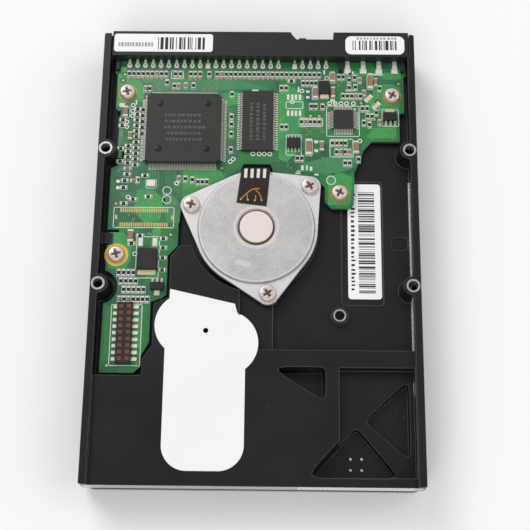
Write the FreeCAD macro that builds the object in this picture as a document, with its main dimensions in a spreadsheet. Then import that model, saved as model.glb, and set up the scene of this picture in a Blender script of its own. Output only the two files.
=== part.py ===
import FreeCAD, Part
import math
import os
import Sketcher

# Slimline 3.5 inch hard disk drive, circuit-board side up. Millimetres. The origin is at the
# centre of the footprint, on the underside of the cover; +Y points to the connector end.

doc = FreeCAD.newDocument("hard_disk_drive")

SIZES = {
    "body_length": 146.0,
    "body_width": 101.6,
    "body_height": 17.5,
    "rail_width": 3.0,
    "rail_lean": 0.8,
    "disc_centre_y": 6.0,
    "platter_diameter": 95.0,
    "platter_bore": 25.0,
    "platter_thickness": 1.27,
    "disc_clearance": 1.0,
    "spindle_shaft_diameter": 4.0,
    "spindle_clearance": 0.02,
    "flange_diameter": 37.8,
    "ear_circle_diameter": 43.0,
    "ear_radius": 3.4,
    "motor_bore_diameter": 33.0,
    "pivot_x": -31.0,
    "pivot_y": -44.0,
    "arm_length": 50.0,
    "pivot_post_diameter": 6.0,
    "pivot_clearance": 0.02,
    "coil_outer_radius": 23.0,
    "coil_inner_radius": 13.0,
    "slider_gap": 0.05,
    "board_thickness": 1.2,
    "board_standoff": 0.8,
    "board_screw_diameter": 2.0,
    "bottom_hole_diameter": 3.0,
    "bottom_hole_spread": 95.25,
    "bottom_hole_rear": 41.28,
    "bottom_hole_pitch": 44.45,
    "side_hole_rise": 6.35,
    "side_hole_depth": 2.7,
    "side_hole_rear": 28.5,
    "side_hole_middle": 70.1,
    "side_hole_front": 130.1,
    "housing_depth": 8.7,
    "pin_pitch": 2.54,
    "pin_width": 0.64,
    "power_pitch": 5.08,
    "power_pin_diameter": 2.1,
    "cover_thickness": 0.9,
    "label_thickness": 0.12,
    "shunt_clearance": 0.05,
}

sheet = doc.addObject("Spreadsheet::Sheet", "sizes")
for row, (name, value) in enumerate(SIZES.items(), start=1):
    sheet.set("A%d" % row, name)
    sheet.set("B%d" % row, "%g" % value)
    sheet.setAlias("B%d" % row, name)
doc.recompute()


def amount(value):
    return value.value if isinstance(value, Size) else float(value)


def formula(value):
    return value.text if isinstance(value, Size) else "(%.6g)" % value


class Size:
    """A length carried both as a number and as the sheet formula it comes from."""

    def __init__(self, value, text):
        self.value, self.text = value, text

    def __add__(self, other):
        return Size(self.value + amount(other), "(%s + %s)" % (self.text, formula(other)))

    def __radd__(self, other):
        return self + other

    def __sub__(self, other):
        return Size(self.value - amount(other), "(%s - %s)" % (self.text, formula(other)))

    def __rsub__(self, other):
        return Size(amount(other) - self.value, "(%s - %s)" % (formula(other), self.text))

    def __mul__(self, other):
        return Size(self.value * amount(other), "(%s * %s)" % (self.text, formula(other)))

    def __rmul__(self, other):
        return self * other

    def __truediv__(self, other):
        return Size(self.value / amount(other), "(%s / %s)" % (self.text, formula(other)))

    def __neg__(self):
        return Size(-self.value, "(-1 * %s)" % self.text)


def size(name):
    return Size(SIZES[name], "sizes.%s" % name)


def level(rise):
    """A height above the underside, as a share of the drive's full height."""
    return size("body_height") * (rise / 17.5)


def bind(item, path, value):
    if isinstance(value, Size):
        item.setExpression(path, value.text)
    else:
        item.setExpression(path, "%.6g * 1" % value)


def box(x0, y0, x1, y1):
    return [(x0, y0), (x1, y0), (x1, y1), (x0, y1)]


def disc(x, y, radius):
    return {"x": x, "y": y, "radius": radius}


def turned(cx, cy, angle, points):
    """Points given along and across a direction, brought back to the drive's own axes."""
    c, s = math.cos(math.radians(angle)), math.sin(math.radians(angle))
    return [(cx + a * c - b * s, cy + a * s + b * c) for a, b in points]


def rounded(points, radius, steps=5):
    """An outline of points with every corner turned into short steps of an arc."""
    outline = []
    for i, (x, y) in enumerate(points):
        sides = []
        for ox, oy in (points[i - 1], points[(i + 1) % len(points)]):
            run = math.hypot(ox - x, oy - y)
            sides.append(((ox - x) / run, (oy - y) / run, run))
        (ax, ay, a_run), (bx, by, b_run) = sides
        half = math.acos(max(-1.0, min(1.0, ax * bx + ay * by))) / 2
        cut = min(radius / math.tan(half), 0.45 * a_run, 0.45 * b_run)
        start, end = (x + ax * cut, y + ay * cut), (x + bx * cut, y + by * cut)
        for k in range(steps + 1):
            t = k / steps
            outline.append(tuple((1 - t) ** 2 * p + 2 * t * (1 - t) * c + t ** 2 * q
                                 for p, c, q in zip(start, (x, y), end)))
    return outline


def around(cx, cy, radius, angle):
    return turned(cx, cy, angle, [(radius, 0)])[0]


class Piece:
    """One sub-part: a body grown from sketches bound to the sheet."""

    def __init__(self, label):
        self.label = label
        self.body = doc.addObject("PartDesign::Body", label)
        self.body.Label = label
        self.count = 0

    def name(self, kind):
        self.count += 1
        return "%s_%s_%d" % (self.label, kind, self.count)

    def sketch(self, loops, offset, plane="XY_Plane"):
        sketch = self.body.newObject("Sketcher::SketchObject", self.name("outline"))
        home = [f for f in self.body.Origin.OriginFeatures if f.Role == plane][0]
        sketch.AttachmentSupport = (home, [""])
        sketch.MapMode = "FlatFace"
        bind(sketch, "AttachmentOffset.Base.z", offset)
        lines, limits, formulas = [], [], []

        def hold(kind, item, corner, value):
            if isinstance(value, Size):
                formulas.append((len(limits), value.text))
            limits.append(Sketcher.Constraint(kind, -1, 1, item, corner, amount(value)))

        for loop in loops:
            first = len(lines)
            if isinstance(loop, dict):
                centre = FreeCAD.Vector(amount(loop["x"]), amount(loop["y"]), 0)
                lines.append(Part.Circle(centre, FreeCAD.Vector(0, 0, 1), amount(loop["radius"])))
                hold("DistanceX", first, 3, loop["x"])
                hold("DistanceY", first, 3, loop["y"])
                if isinstance(loop["radius"], Size):
                    formulas.append((len(limits), loop["radius"].text))
                limits.append(Sketcher.Constraint("Radius", first, amount(loop["radius"])))
                continue
            corners = [FreeCAD.Vector(amount(x), amount(y), 0) for x, y in loop]
            total = len(corners)
            for i in range(total):
                lines.append(Part.LineSegment(corners[i], corners[(i + 1) % total]))
            for i in range(total):
                limits.append(Sketcher.Constraint("Coincident", first + i, 2,
                                                  first + (i + 1) % total, 1))
                hold("DistanceX", first + i, 1, loop[i][0])
                hold("DistanceY", first + i, 1, loop[i][1])
        sketch.addGeometry(lines, False)
        sketch.addConstraint(limits)
        for number, text in formulas:
            sketch.setExpression("Constraints[%d]" % number, text)
        return sketch

    def feature(self, kind, sketch, settings):
        item = self.body.newObject("PartDesign::%s" % kind, self.name(kind.lower()))
        item.Profile = sketch
        for key, value in settings.items():
            if isinstance(value, Size):
                bind(item, key, value)
            else:
                setattr(item, key, value)
        self.body.Tip = item
        return item

    def pad(self, loops, low, high, taper=0.0, plane="XY_Plane"):
        self.feature("Pad", self.sketch(loops, low, plane),
                     {"Length": high - low, "TaperAngle": taper})
        return self

    def pocket(self, loops, low, high, taper=0.0, plane="XY_Plane"):
        """Cut from low to high; a taper narrows the cut on its way down from high."""
        if taper:
            self.feature("Pocket", self.sketch(loops, high, plane),
                         {"Length": high - low, "TaperAngle": -taper})
        else:
            self.feature("Pocket", self.sketch(loops, low, plane),
                         {"Length": high - low, "Reversed": True})
        return self

    def slot_along_y(self, loops):
        """Cut the full length of the drive with an outline drawn in X and Z."""
        self.feature("Pocket", self.sketch(loops, 0, "XZ_Plane"),
                     {"Length": size("body_length") * 2, "Midplane": True})
        return self

    def fillet(self, radius, spots):
        """Round the upright edges that start nearest the given plan positions."""
        doc.recompute()
        last, names = self.body.Tip, []
        for x, y in spots:
            best, found = 0.35, None
            for i, edge in enumerate(last.Shape.Edges, start=1):
                ends = edge.Vertexes
                if len(ends) < 2 or abs(ends[0].Z - ends[1].Z) < 0.05:
                    continue
                for end in ends:
                    gap = math.hypot(end.X - amount(x), end.Y - amount(y))
                    if gap < best:
                        best, found = gap, "Edge%d" % i
            if found and found not in names:
                names.append(found)
        item = self.body.newObject("PartDesign::Fillet", self.name("fillet"))
        item.Base = (last, names)
        item.Radius = radius
        self.body.Tip = item
        return self


def cube(label, x0, y0, z0, x1, y1, z1):
    item = doc.addObject("Part::Box", label)
    for path, value in (("Length", x1 - x0), ("Width", y1 - y0), ("Height", z1 - z0),
                        ("Placement.Base.x", x0), ("Placement.Base.y", y0),
                        ("Placement.Base.z", z0)):
        bind(item, path, value)
    return item


def rod(label, x, y, z0, z1, radius):
    item = doc.addObject("Part::Cylinder", label)
    for path, value in (("Radius", radius), ("Height", z1 - z0), ("Placement.Base.x", x),
                        ("Placement.Base.y", y), ("Placement.Base.z", z0)):
        bind(item, path, value)
    return item


def rod_along_y(label, x, z, y0, y1, radius):
    item = rod(label, x, y1, z, z + (y1 - y0), radius)
    item.Placement.Rotation = FreeCAD.Rotation(FreeCAD.Vector(1, 0, 0), 90)
    return item


def join(kind, label, parts):
    item = doc.addObject("Part::%s" % kind, label)
    item.Label = label
    if kind == "Cut":
        item.Base, item.Tool = parts
    elif kind == "Compound":
        item.Links = parts
    else:
        item.Shapes = parts
    return item


def sector(label, cx, cy, inner, outer, start, end, low, high):
    """A slice of a ring, from one angle to another."""
    def slice_of(name, radius, z0, z1):
        item = rod(name, cx, cy, z0, z1, radius)
        item.Angle = end - start
        item.Placement.Rotation = FreeCAD.Rotation(FreeCAD.Vector(0, 0, 1), start)
        return item
    whole = slice_of(label + "_outer", outer, low, high)
    core = rod(label + "_core", cx, cy, low - 1, high + 1, inner)
    return join("Cut", label, [whole, core])


# Named positions shared by several pieces.
rear = size("body_length") / 2
front = -rear
side = size("body_width") / 2
rail = side - size("rail_width")
top = size("body_height")
deck = level(15.6)
slot_floor = level(13.5)
floor = level(11.4)
disc_ceiling = level(9.6)
coil_ceiling = level(10.6)
base_bottom = level(2.0)
gasket_bottom = level(1.6)
flange_seat = level(14.6)
flange_top = level(15.8)
flange_face = level(16.6)
board_low = floor + size("board_standoff")
board_high = board_low + size("board_thickness")
disc_y = size("disc_centre_y")
disc_radius = size("platter_diameter") / 2 + size("disc_clearance")
pivot = (size("pivot_x"), size("pivot_y"))
housing_front = rear - size("housing_depth")
housing_low, housing_high = level(8.0), level(17.3)
housing_left, housing_right = 3.5 - side, side - 2.6
ear_angles = (40, 160, 280)
ears = [around(0, disc_y, size("ear_circle_diameter") / 2, angle) for angle in ear_angles]

hole_x = size("bottom_hole_spread") / 2
hole_y = rear - size("bottom_hole_rear")
hole_spots = [(sx * hole_x, y) for sx in (-1, 1)
              for y in (hole_y, hole_y - size("bottom_hole_pitch"))]
side_hole_y = [rear - size(name) for name in
               ("side_hole_rear", "side_hole_middle", "side_hole_front")]
side_screw_y = hole_y - size("bottom_hole_pitch") + 10.33
board_screws = [(8.7 - side, rear - 20.3), (side - 7.9, rear - 21.0), (7.8 - side, side_screw_y),
                (25.8, 18.4)]
board_screw_radius = size("board_screw_diameter") / 2
cover_screws = [(sx * (side - 4.2), y) for sx in (-1, 1)
                for y in (rear - 4.5, rear - 33.0, front + 4.5)]
tapped_post = (25.6, -21.1)
stand_off_radius = 2.6
breather = (-14.7, -26.8)
flex_window = box(-41.2, -36.1, -37.4, -18.6)
actuator_room = [(-48, -40.9), (-48, -62), (-41, front + 2.5), (4, front + 2.5),
                 (10, -66), (10, -40.9)]
arm_room = [(-47.6, -42), (7, -42), (-12, -17), (-47.6, -17)]
filter_room = [(34, 40), (42, 34), (45, 38), (37, 44)]
label_recess = box(26.4, -17.3, 39.2, 23.2)
recess_edge = [(-33.4, -40.6), (-33.4, -35.5), (-30.6, -31.5), (-30.6, -18.4), (-26.1, -16.4),
               (-26.1, -3.4), (-23.2, 0.2)]
small_triangle = rounded([(3.0, -37.2), (21.6, -37.2), (21.6, -49.0)], 2.2)
lower_triangle = rounded([(30.4, -53.2), (14.0, -70.8), (45.0, -70.8)], 2.8)
right_triangle = rounded([(31.2, -53.0), (47.2, -37.8), (47.2, -67.0)], 2.8)
side_slot = rounded([(41.9, 0.7), (47.0, 0.7), (47.0, 4.9), (41.9, 4.9)], 1.6)

# Base casting: rails, decks, board recess, pockets, motor bore and the closed room below.
base = Piece("base_casting")
base.pad([box(-side, front, side, rear - 0.8)], base_bottom, top)
base.fillet(1.8, [(x, y) for x in (-side, side) for y in (front, rear - 0.8)])
base.pocket([box(-rail, front - 1, rail, rear)], deck, top + 1)
recess = ([(-rail, -40.6)] + recess_edge
          + [(-4.8, 0.2), (5.3, -14.0), (5.3, -32.5), (rail, -32.5),
             (rail, housing_front), (-rail, housing_front)])
base.pocket([recess], floor, top + 1)
base.pocket([box(-4.8, -32.5, 5.4, 0)], slot_floor, top + 1)
base.pocket([disc(0, disc_y, 20.6)], floor, top + 1)
base.pocket([box(housing_left - 0.2, housing_front - 0.1, housing_right + 0.2, rear + 1)],
            housing_low, top + 1)
base.pocket([box(25.2, front + 2.8, rail - 0.2, -37.8)], floor, top + 1)
base.pocket([small_triangle], level(10.2), top + 1, taper=8)
base.pocket([lower_triangle], level(8.8), top + 1, taper=8)
base.pocket([right_triangle], level(8.8), top + 1, taper=8)
base.pocket([rounded(label_recess, 1.2)], floor - 0.3, top + 1)
base.pocket([side_slot], floor - 0.8, top + 1)
base.pocket([box(-side - 1, front - 1, side + 1, front + 1.4)], base_bottom - 1, level(9.5))
# Standing features: motor seat, ear pads, board stand-offs, post, mounting bosses.
base.pad([disc(0, disc_y, size("flange_diameter") / 2 + 0.2)], floor - 0.5, flange_seat)
base.pad([disc(x, y, size("ear_radius") - 0.5) for x, y in ears], floor - 0.5, flange_seat)
base.pad([disc(x, y, stand_off_radius) for x, y in board_screws], floor - 0.5, board_low)
base.pad([disc(*tapped_post, stand_off_radius)], floor - 0.5, floor + 2.0)
base.pad([disc(x, y, 4.0) for x, y in hole_spots], floor - 0.5, top, taper=-9)
base.pad([box(-rail - 0.5, side_hole_y[1] - 1.7, 3.4 - rail, side_hole_y[1] + 1.7)],
         floor - 0.5, board_high + 0.6)
for s in (-1, 1):
    base.slot_along_y([[(s * side, base_bottom), (s * (side + 4), base_bottom),
                        (s * (side + 4), top + 1), (s * (side - size("rail_lean")), top + 0.001),
                        (s * side, level(10))]])
# Rooms below: disc, arms and coil, with the motor bore and every screw hole.
base.pocket([disc(0, disc_y, disc_radius)], base_bottom - 1, disc_ceiling)
base.pocket([arm_room], base_bottom - 1, disc_ceiling)
base.pocket([actuator_room], base_bottom - 1, coil_ceiling)
base.pocket([filter_room], base_bottom - 1, disc_ceiling)
base.pocket([box(14, -68, 44, -47)], base_bottom - 1, level(6.5))
base.pocket([disc(0, disc_y, size("motor_bore_diameter") / 2)], base_bottom - 1, top + 1)
base.pocket([flex_window], disc_ceiling - 1, floor + 1)
base.pocket([disc(*breather, 0.8)], disc_ceiling - 1, top + 1)
base.pocket([disc(x, y, 1.0) for x, y in ears], floor, top + 1)
base.pocket([disc(x, y, board_screw_radius) for x, y in board_screws], disc_ceiling + 0.4, top)
base.pocket([disc(*tapped_post, size("bottom_hole_diameter") / 2)], floor - 0.8, top)
base.pocket([disc(x, y, size("bottom_hole_diameter") / 2) for x, y in hole_spots],
            disc_ceiling + 0.6, top + 1)
base.pocket([disc(x, y, 1.0) for x, y in cover_screws], base_bottom - 1, level(7.5))
for s in (-1, 1):
    holes = [disc(y, top - size("side_hole_rise"), size("bottom_hole_diameter") / 2)
             for y in side_hole_y]
    reach = size("side_hole_depth")
    low, high = (side - reach, side + 1) if s > 0 else (-side - 1, reach - side)
    base.pocket(holes, low, high, plane="YZ_Plane")

# Cover sheet: a flange round the edge, a pan in the middle and a shallow label recess.
skin = size("cover_thickness")
cover = Piece("top_cover")
cover.pad([box(0.6 - side, front + 0.6, side - 0.6, rear - 1.4)], gasket_bottom - skin,
          gasket_bottom)
cover.fillet(2.6, [(x, y) for x in (0.6 - side, side - 0.6) for y in (front + 0.6, rear - 1.4)])
cover.pad([box(8 - side, front + 8, side - 8, rear - 8.8)], 0, gasket_bottom - 0.2)
cover.fillet(6.0, [(x, y) for x in (8 - side, side - 8) for y in (front + 8, rear - 8.8)])
cover.pocket([box(9 - side, front + 9, side - 9, rear - 9.8)], skin, gasket_bottom + 1)
cover.pocket([box(-36, -52, 36, 50)], -1, size("label_thickness") + 0.03)
cover.pocket([disc(x, y, 1.4) for x, y in cover_screws], -1, gasket_bottom + 1)

gasket = Piece("cover_gasket")
gasket.pad([box(0.9 - side, front + 2.0, side - 0.9, rear - 1.7)], gasket_bottom, base_bottom)
gasket.pocket([disc(0, disc_y, disc_radius + 0.3)], gasket_bottom - 1, base_bottom + 1)
gasket.pocket([[(x, y) for x, y in actuator_room[:5]] + [(10, -30), (-48, -30)]],
              gasket_bottom - 1, base_bottom + 1)
gasket.pocket([disc(x, y, 1.6) for x, y in cover_screws], gasket_bottom - 1, base_bottom + 1)


def screws(label, spots, tip, seat, crown, shank, head, drive=0.62):
    """Pan-head screws: shank between tip and seat, head from seat to crown, cross recess."""
    up = amount(crown) > amount(seat)
    piece = Piece(label)
    low, high = (tip, seat) if up else (seat, tip)
    piece.pad([disc(x, y, shank) for x, y in spots], low, high)
    low, high = (seat, crown) if up else (crown, seat)
    piece.pad([disc(x, y, head) for x, y in spots], low, high)
    for a, b in ((drive, 0.16), (0.16, drive)):
        a, b = a * head, b * head
        loops = [box(x - a, y - b, x + a, y + b) for x, y in spots]
        if up:
            piece.pocket(loops, seat + (crown - seat) * 0.45, crown + 1)
        else:
            piece.pocket(loops, crown - 1, seat + (crown - seat) * 0.45)
    return piece


screws("cover_screws", cover_screws, level(7.0), gasket_bottom - skin, level(0.02), 1.0, 2.0)

cover_label = Piece("cover_label")
cover_label.pad([box(-35.9, -51.9, 35.9, 49.9)], 0.03, 0.03 + size("label_thickness"))

# Labels on the upper side.
sticker = size("label_thickness")
seal = Piece("base_seal_label")
seal.pad([[(-25.8, -13.9), (-6.1, -18.4), (-5.4, -21.0), (-4.9, -21.8), (-2.7, -33),
           (-2.7, -60), (-2.7, -68.7), (-26.8, -68.7), (-26.8, -32.6), (-25.9, -17.0)]],
         deck, deck + sticker)
seal.fillet(7.5, [(-2.7, -68.7), (-26.8, -68.7)])
seal.pad([disc(-20.2, -25.0, 9.9)], deck, deck + sticker)
seal.pad([disc(-8.9, -30.6, 10.0)], deck, deck + sticker)
seal.pocket([[(-31, -12.7), (0, -19.8), (0, -8), (-31, -8)]], deck - 1, deck + 1)
seal.pocket([[(-6.1, -18.4), (-5.4, -21.0), (-4.9, -21.8), (1, -21.8), (1, -17)]],
            deck - 1, deck + 1)
seal.pocket([disc(*breather, 0.8)], deck - 1, deck + 1)

barcode = Piece("barcode_label")
barcode.pad([box(28.4, -15.3, 38.7, 22.5)], floor - 0.3, floor - 0.3 + sticker)
barcode.fillet(1.0, box(28.4, -15.3, 38.7, 22.5))
for name, x0, y0, x1, y1, r in (
        ("connector_label_left", 4.0 - side, 7.4, 35.9 - side, 1.0, 0.9),
        ("connector_label_right", side - 22.9, 7.9, side - 3.9, 1.4, 1.9)):
    tag = Piece(name)
    outline = box(x0, rear - y0, x1, rear - y1)
    tag.pad([outline], housing_high, housing_high + 0.1)
    tag.fillet(r, outline)

# Circuit board with its notches, screw holes and the window for the head contacts.
notch_top, notch_foot = side_hole_y[1] + 3.0, side_hole_y[1] - 2.1
board_outline = [
    (4.4 - side, housing_front - 0.1), (4.4 - side, rear - 13.1), (5.1 - side, rear - 13.8),
    (5.1 - side, 47.2), (5.9 - side, 46.4), (6.7 - side, 46.4), (6.7 - side, 33), (4.6 - side, 31),
    (4.6 - side, notch_top), (8.2 - side, notch_top),
    (8.2 - side, notch_foot), (4.6 - side, notch_foot),
    (4.6 - side, -8), (4.4 - side, -39.5), (-36.2, -39.5), (-34.2, -37.7), (-34.2, -34.5),
    (-31.8, -30), (-31.8, -17.3), (-28.4, -16.2), (-27.1, -15), (-27.1, -2.4), (-24.2, 0.6),
    (-24.2, 13.9), (-20, 17.4), (-5.2, 24.7), (-5.2, 26.6), (-4.4, 28.2), (4, 28.2), (4.8, 26.4),
    (4.9, 25), (10, 24.2), (18, 23.9), (21.2, 20.4), (21.2, 15.5), (23.2, 13.4), (28.6, 13.4),
    (30.1, 14.8), (30.6, 22.8), (30.4, 25.2), (33, 31), (33.1, 33.2), (35.8, 36.2),
    (side - 5.7, 36.2), (side - 5.7, rear - 27.1), (side - 4.0, rear - 26.6),
    (side - 4.0, rear - 14.2), (side - 3.3, rear - 13.6), (side - 3.3, housing_front - 0.1)]
board = Piece("circuit_board")
board.pad([board_outline], board_low, board_high)
board.pocket([disc(x, y, 5.4) for x, y in hole_spots[:2]]
             + [disc(x, y, 5.1) for x, y in hole_spots[2:]], board_low - 1, board_high + 1)
board.pocket([disc(x, y, 1.3) for x, y in board_screws], board_low - 1, board_high + 1)
board.pocket([flex_window], board_low - 1, board_high + 1)

film = Piece("board_insulator")
film.pad([[(-30, 20), (-8, 29), (30, 29), (33, 35), (36, 44), (36, 59), (-38, 59), (-38, 35)]],
         floor, floor + 0.2)

screws("board_screws", board_screws, disc_ceiling + 0.6, board_high, level(15.4),
       board_screw_radius, 2.5)
washer = Piece("board_washer")
washer.pad([disc(*board_screws[2], 3.7), disc(*board_screws[2], 2.6)],
           board_high, board_high + 0.1)

# Chips and other larger parts standing on the board.
parts_on_board = {
    "controller_chip": (-23.6, 39.5, 24.0, 24.0, 3.0, 1.2),
    "memory_chip": (-0.1, 42.9, 10.0, 20.8, 1.1, 0.0),
    "servo_chip": (27.2, 43.5, 6.6, 6.6, 1.4, 0.6),
    "flash_chip": (11.4, 35.3, 4.4, 3.4, 1.4, 0.0),
    "power_transistor": (-33.4, -4.0, 6.2, 6.7, 2.2, 0.0),
    "regulator_rear": (21.2, 54.6, 3.5, 4.7, 1.6, 0.0),
    "regulator_side": (42.1, 44.6, 4.3, 2.9, 1.5, 0.0),
    "small_regulator": (-30.1, -12.5, 4.2, 2.4, 1.4, 0.0),
    "crystal": (-33.3, 21.2, 2.6, 1.9, 0.8, 0.0),
}
for name, (x, y, wide, long, tall, corner) in parts_on_board.items():
    chip = Piece(name)
    a, b, k = wide / 2, long / 2, max(corner, 0.15)
    chip.pad([[(x - a + k, y - b), (x + a - k, y - b), (x + a, y - b + k), (x + a, y + b - k),
               (x + a - k, y + b), (x - a + k, y + b), (x - a, y + b - k), (x - a, y - b + k)]],
             board_high, board_high + tall, taper=-5 if tall > 1 else 0)

capacitors = Piece("chip_capacitors")
capacitors.pad([box(x - w / 2, y - d / 2, x + w / 2, y + d / 2) for x, y, w, d in (
    (36, 57.2, 1.4, 4.3), (23.8, 58.6, 1.5, 2.9), (18.3, 53, 1.5, 3.4), (24, 53.2, 1.2, 3.0),
    (16.2, 34, 1.8, 4.4), (31.2, 34, 1.6, 3.4), (-38.9, 3.7, 1.6, 3.2), (-42.5, 45.9, 1.5, 3.0),
    (-40.6, 37.5, 1.2, 2.0), (37.7, 56.8, 1.0, 2.2), (20.3, 34.4, 1.3, 2.6))],
    board_high, board_high + 1.2)

head = Piece("head_connector")
socket_spots = [(x, -19.1 - 2.03 * i) for x in (-40.5, -38.1) for i in range(9)]
head.pad([box(-41.7, -36.7, -37.0, -17.9)], board_high, board_high + 1.6)
head.pocket([box(x - 0.55, y - 0.5, x + 0.55, y + 0.5) for x, y in socket_spots],
            board_high - 1, board_high + 2)
contacts = Piece("head_connector_contacts")
contacts.pad([box(x - 0.55, y - 0.5, x + 0.55, y + 0.5) for x, y in socket_spots],
             board_high, board_high + 1.5)
contacts.pocket([box(x - 0.3, y - 0.28, x + 0.3, y + 0.28) for x, y in socket_spots],
                board_high - 1, board_high + 2)

# Rear connector: housing, three sets of pins and the jumper cap.
pitch, pin_half = size("pin_pitch"), size("pin_width") / 2
upper_row = board_high + 0.6
lower_row = upper_row - pitch
pin_end = rear - 1.5


def header(label, columns, skipped=()):
    solids = []
    for c, x in enumerate(columns):
        for r, z in enumerate((lower_row, upper_row)):
            if (c, r) in skipped:
                continue
            name = "%s_%d_%d" % (label, c, r)
            stem = cube(name + "_stem", x - pin_half, housing_front - 0.1, z - pin_half,
                        x + pin_half, pin_end, z + pin_half)
            z0, z1 = (board_low - 2 * pin_half, board_low) if r == 0 else (
                board_high, board_high + 2 * pin_half)
            tail = cube(name + "_tail", x - pin_half, housing_front - 2.4, z0,
                        x + pin_half, housing_front + 0.4, z1)
            solids.append(join("MultiFuse", name, [stem, tail]))
    return join("Compound", label, solids)


ide_columns = [-41.9 + pitch * i for i in range(20)]
jumper_columns = [11.6 + pitch * i for i in range(5)]
ide = header("ide_pins", ide_columns, skipped=((10, 0),))
jumpers = header("jumper_pins", jumper_columns)
power_z = board_high - 0.7
power_columns = [28.7 + size("power_pitch") * i for i in range(4)]
power_solids = []
for i, x in enumerate(power_columns):
    stem = rod_along_y("power_stem_%d" % i, x, power_z, rear - 6.6, pin_end,
                       size("power_pin_diameter") / 2)
    tail = cube("power_tail_%d" % i, x - 0.7, housing_front - 3.0, board_high, x + 0.7,
                rear - 6.2, board_high + 0.5)
    foot = cube("power_foot_%d" % i, x - 1.1, housing_front - 4.2, board_high, x + 1.1,
                housing_front - 2.8, board_high + 0.3)
    power_solids.append(join("MultiFuse", "power_pin_%d" % i, [stem, tail, foot]))
power = join("Compound", "power_pins", power_solids)

shell = Piece("connector_shell")
shell.pad([box(housing_left, housing_front, housing_right, rear)], housing_low, housing_high)
shell.pad([box(x, housing_front - 3.8, x + 1.3, housing_front + 1)
           for x in (housing_left + 1.1, 25.8, housing_right - 2.4)],
          board_high, board_high + 1.6)
shell.pocket([[(10.4, rear + 1), (10.4, rear - 0.5), (12.1, rear - 2.6), (23.9, rear - 2.6),
               (24.2, rear + 1)]], housing_low - 1, housing_high + 1)
for x0, x1, z0, z1 in ((-45.3, 9.6, 9.0, 16.3), (10.6, 24.6, 9.6, 16.0),
                       (26.2, 47.0, 9.0, 16.3)):
    shell.pocket([box(x0, rear - 6.6, x1, rear + 1)], level(z0), level(z1))
shell.pocket([box(-24, housing_front - 1, -18, housing_front + 1)], housing_low - 1, level(9.5))
housing = join("Cut", "connector_housing", [shell.body, join(
    "MultiFuse", "connector_pin_holes", [ide, jumpers, power])])

shunt_x = jumper_columns[1]
gap = size("shunt_clearance")
shunt_body = cube("jumper_cap", shunt_x - 1.15, rear - 6.4, lower_row - 1.2,
                  shunt_x + 1.15, rear - 1.0, upper_row + 1.2)
bores = [cube("jumper_bore_%d" % i, shunt_x - pin_half - gap, rear - 7, z - pin_half - gap,
              shunt_x + pin_half + gap, rear - 1.3, z + pin_half + gap)
         for i, z in enumerate((lower_row, upper_row))]
shunt = join("Cut", "jumper_shunt", [shunt_body, join("MultiFuse", "jumper_bores", bores)])

# Spindle motor: flange with three ears, stator, sleeve, shaft, hub and magnet ring.
flange_radius = size("flange_diameter") / 2
sleeve_radius, sleeve_wall, face_radius = 5.0, 1.0, 17.8
plug_radius = size("motor_bore_diameter") / 2 - 0.05
tangent = math.degrees(math.acos((SIZES["flange_diameter"] / 2 - SIZES["ear_radius"])
                                 / (SIZES["ear_circle_diameter"] / 2)))
flange = Piece("motor_flange")
flange.pad([disc(0, disc_y, flange_radius)], flange_seat, flange_top)
webs = []
for angle, (ex, ey) in zip(ear_angles, ears):
    reach = size("ear_radius")
    webs.append([around(0, disc_y, flange_radius - 0.01, angle - tangent),
                 around(ex, ey, reach - 0.01, angle - tangent),
                 around(ex, ey, reach - 0.01, angle + tangent),
                 around(0, disc_y, flange_radius - 0.01, angle + tangent)])
flange.pad(webs, flange_seat, flange_top)
flange.pad([disc(x, y, size("ear_radius")) for x, y in ears], flange_seat, flange_top)
flange.pad([disc(0, disc_y, face_radius)], flange_top - 0.2, flange_face)
flange.pad([disc(0, disc_y, plug_radius)], level(13.4), flange_seat + 0.2)
flange.pocket([disc(0, disc_y, plug_radius - 0.55)], level(13.0), level(15.3))
flange.pad([disc(0, disc_y, sleeve_radius + sleeve_wall)], level(11.0), level(15.5))
flange.pocket([disc(0, disc_y, sleeve_radius)], level(10), level(17))
flange.pocket([disc(0, disc_y, sleeve_radius + sleeve_wall)], level(16.0), level(17))
flange.pocket([disc(x, y, 1.35) for x, y in ears], flange_seat - 1, level(17))

screws("motor_screws", ears, level(11.8), flange_top, level(17.2), 1.0, 2.65)
cap = Piece("motor_cap")
cap.pad([disc(0, disc_y, 5.1)], level(16.0), level(16.8))

flex = Piece("motor_flex")
flex.pad([[(disc_y + 6.7, flange_face), (disc_y + 19.2, flange_face),
           (disc_y + 20.7, board_low - 0.2), (disc_y + 24, board_low - 0.2),
           (disc_y + 24, board_low), (disc_y + 21.0, board_low),
           (disc_y + 19.5, flange_face + 0.2), (disc_y + 6.7, flange_face + 0.2)]],
         -6.3, 4.3, plane="YZ_Plane")
for trim in ([(-7, 12), (-6.3, 12), (-6.2, 14.2), (-4.8, 25.6), (-4.8, 31), (-7, 31)],
             [(5, 12), (2.9, 12), (3.2, 14), (4.1, 25), (4.1, 31), (5, 31)],
             rounded([(-7, 11), (5, 11), (3, 12.8), (-6.2, 13.9)], 0.1)):
    flex.pocket([trim], floor, flange_face + 1)

core = Piece("stator_core")
core.pad([disc(0, disc_y, 7.6), disc(0, disc_y, 6.0)], level(11.2), level(13.8))
tooth_count = 9
teeth, coils = [], []
for i in range(tooth_count):
    angle = i * 360.0 / tooth_count
    teeth.append(turned(0, disc_y, angle, [(7.2, -0.8), (11.3, -0.8), (11.3, -2.6), (11.7, -2.5),
                                           (11.7, 2.5), (11.3, 2.6), (11.3, 0.8), (7.2, 0.8)]))
    coils.append(turned(0, disc_y, angle, [(7.9, -1.5), (11.0, -2.3), (11.0, 2.3), (7.9, 1.5)]))
core.pad(teeth, level(11.2), level(13.8))
winding = Piece("stator_winding")
winding.pad(coils, level(10.7), level(14.3))
join("Cut", "stator_coils", [winding.body, core.body])

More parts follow.
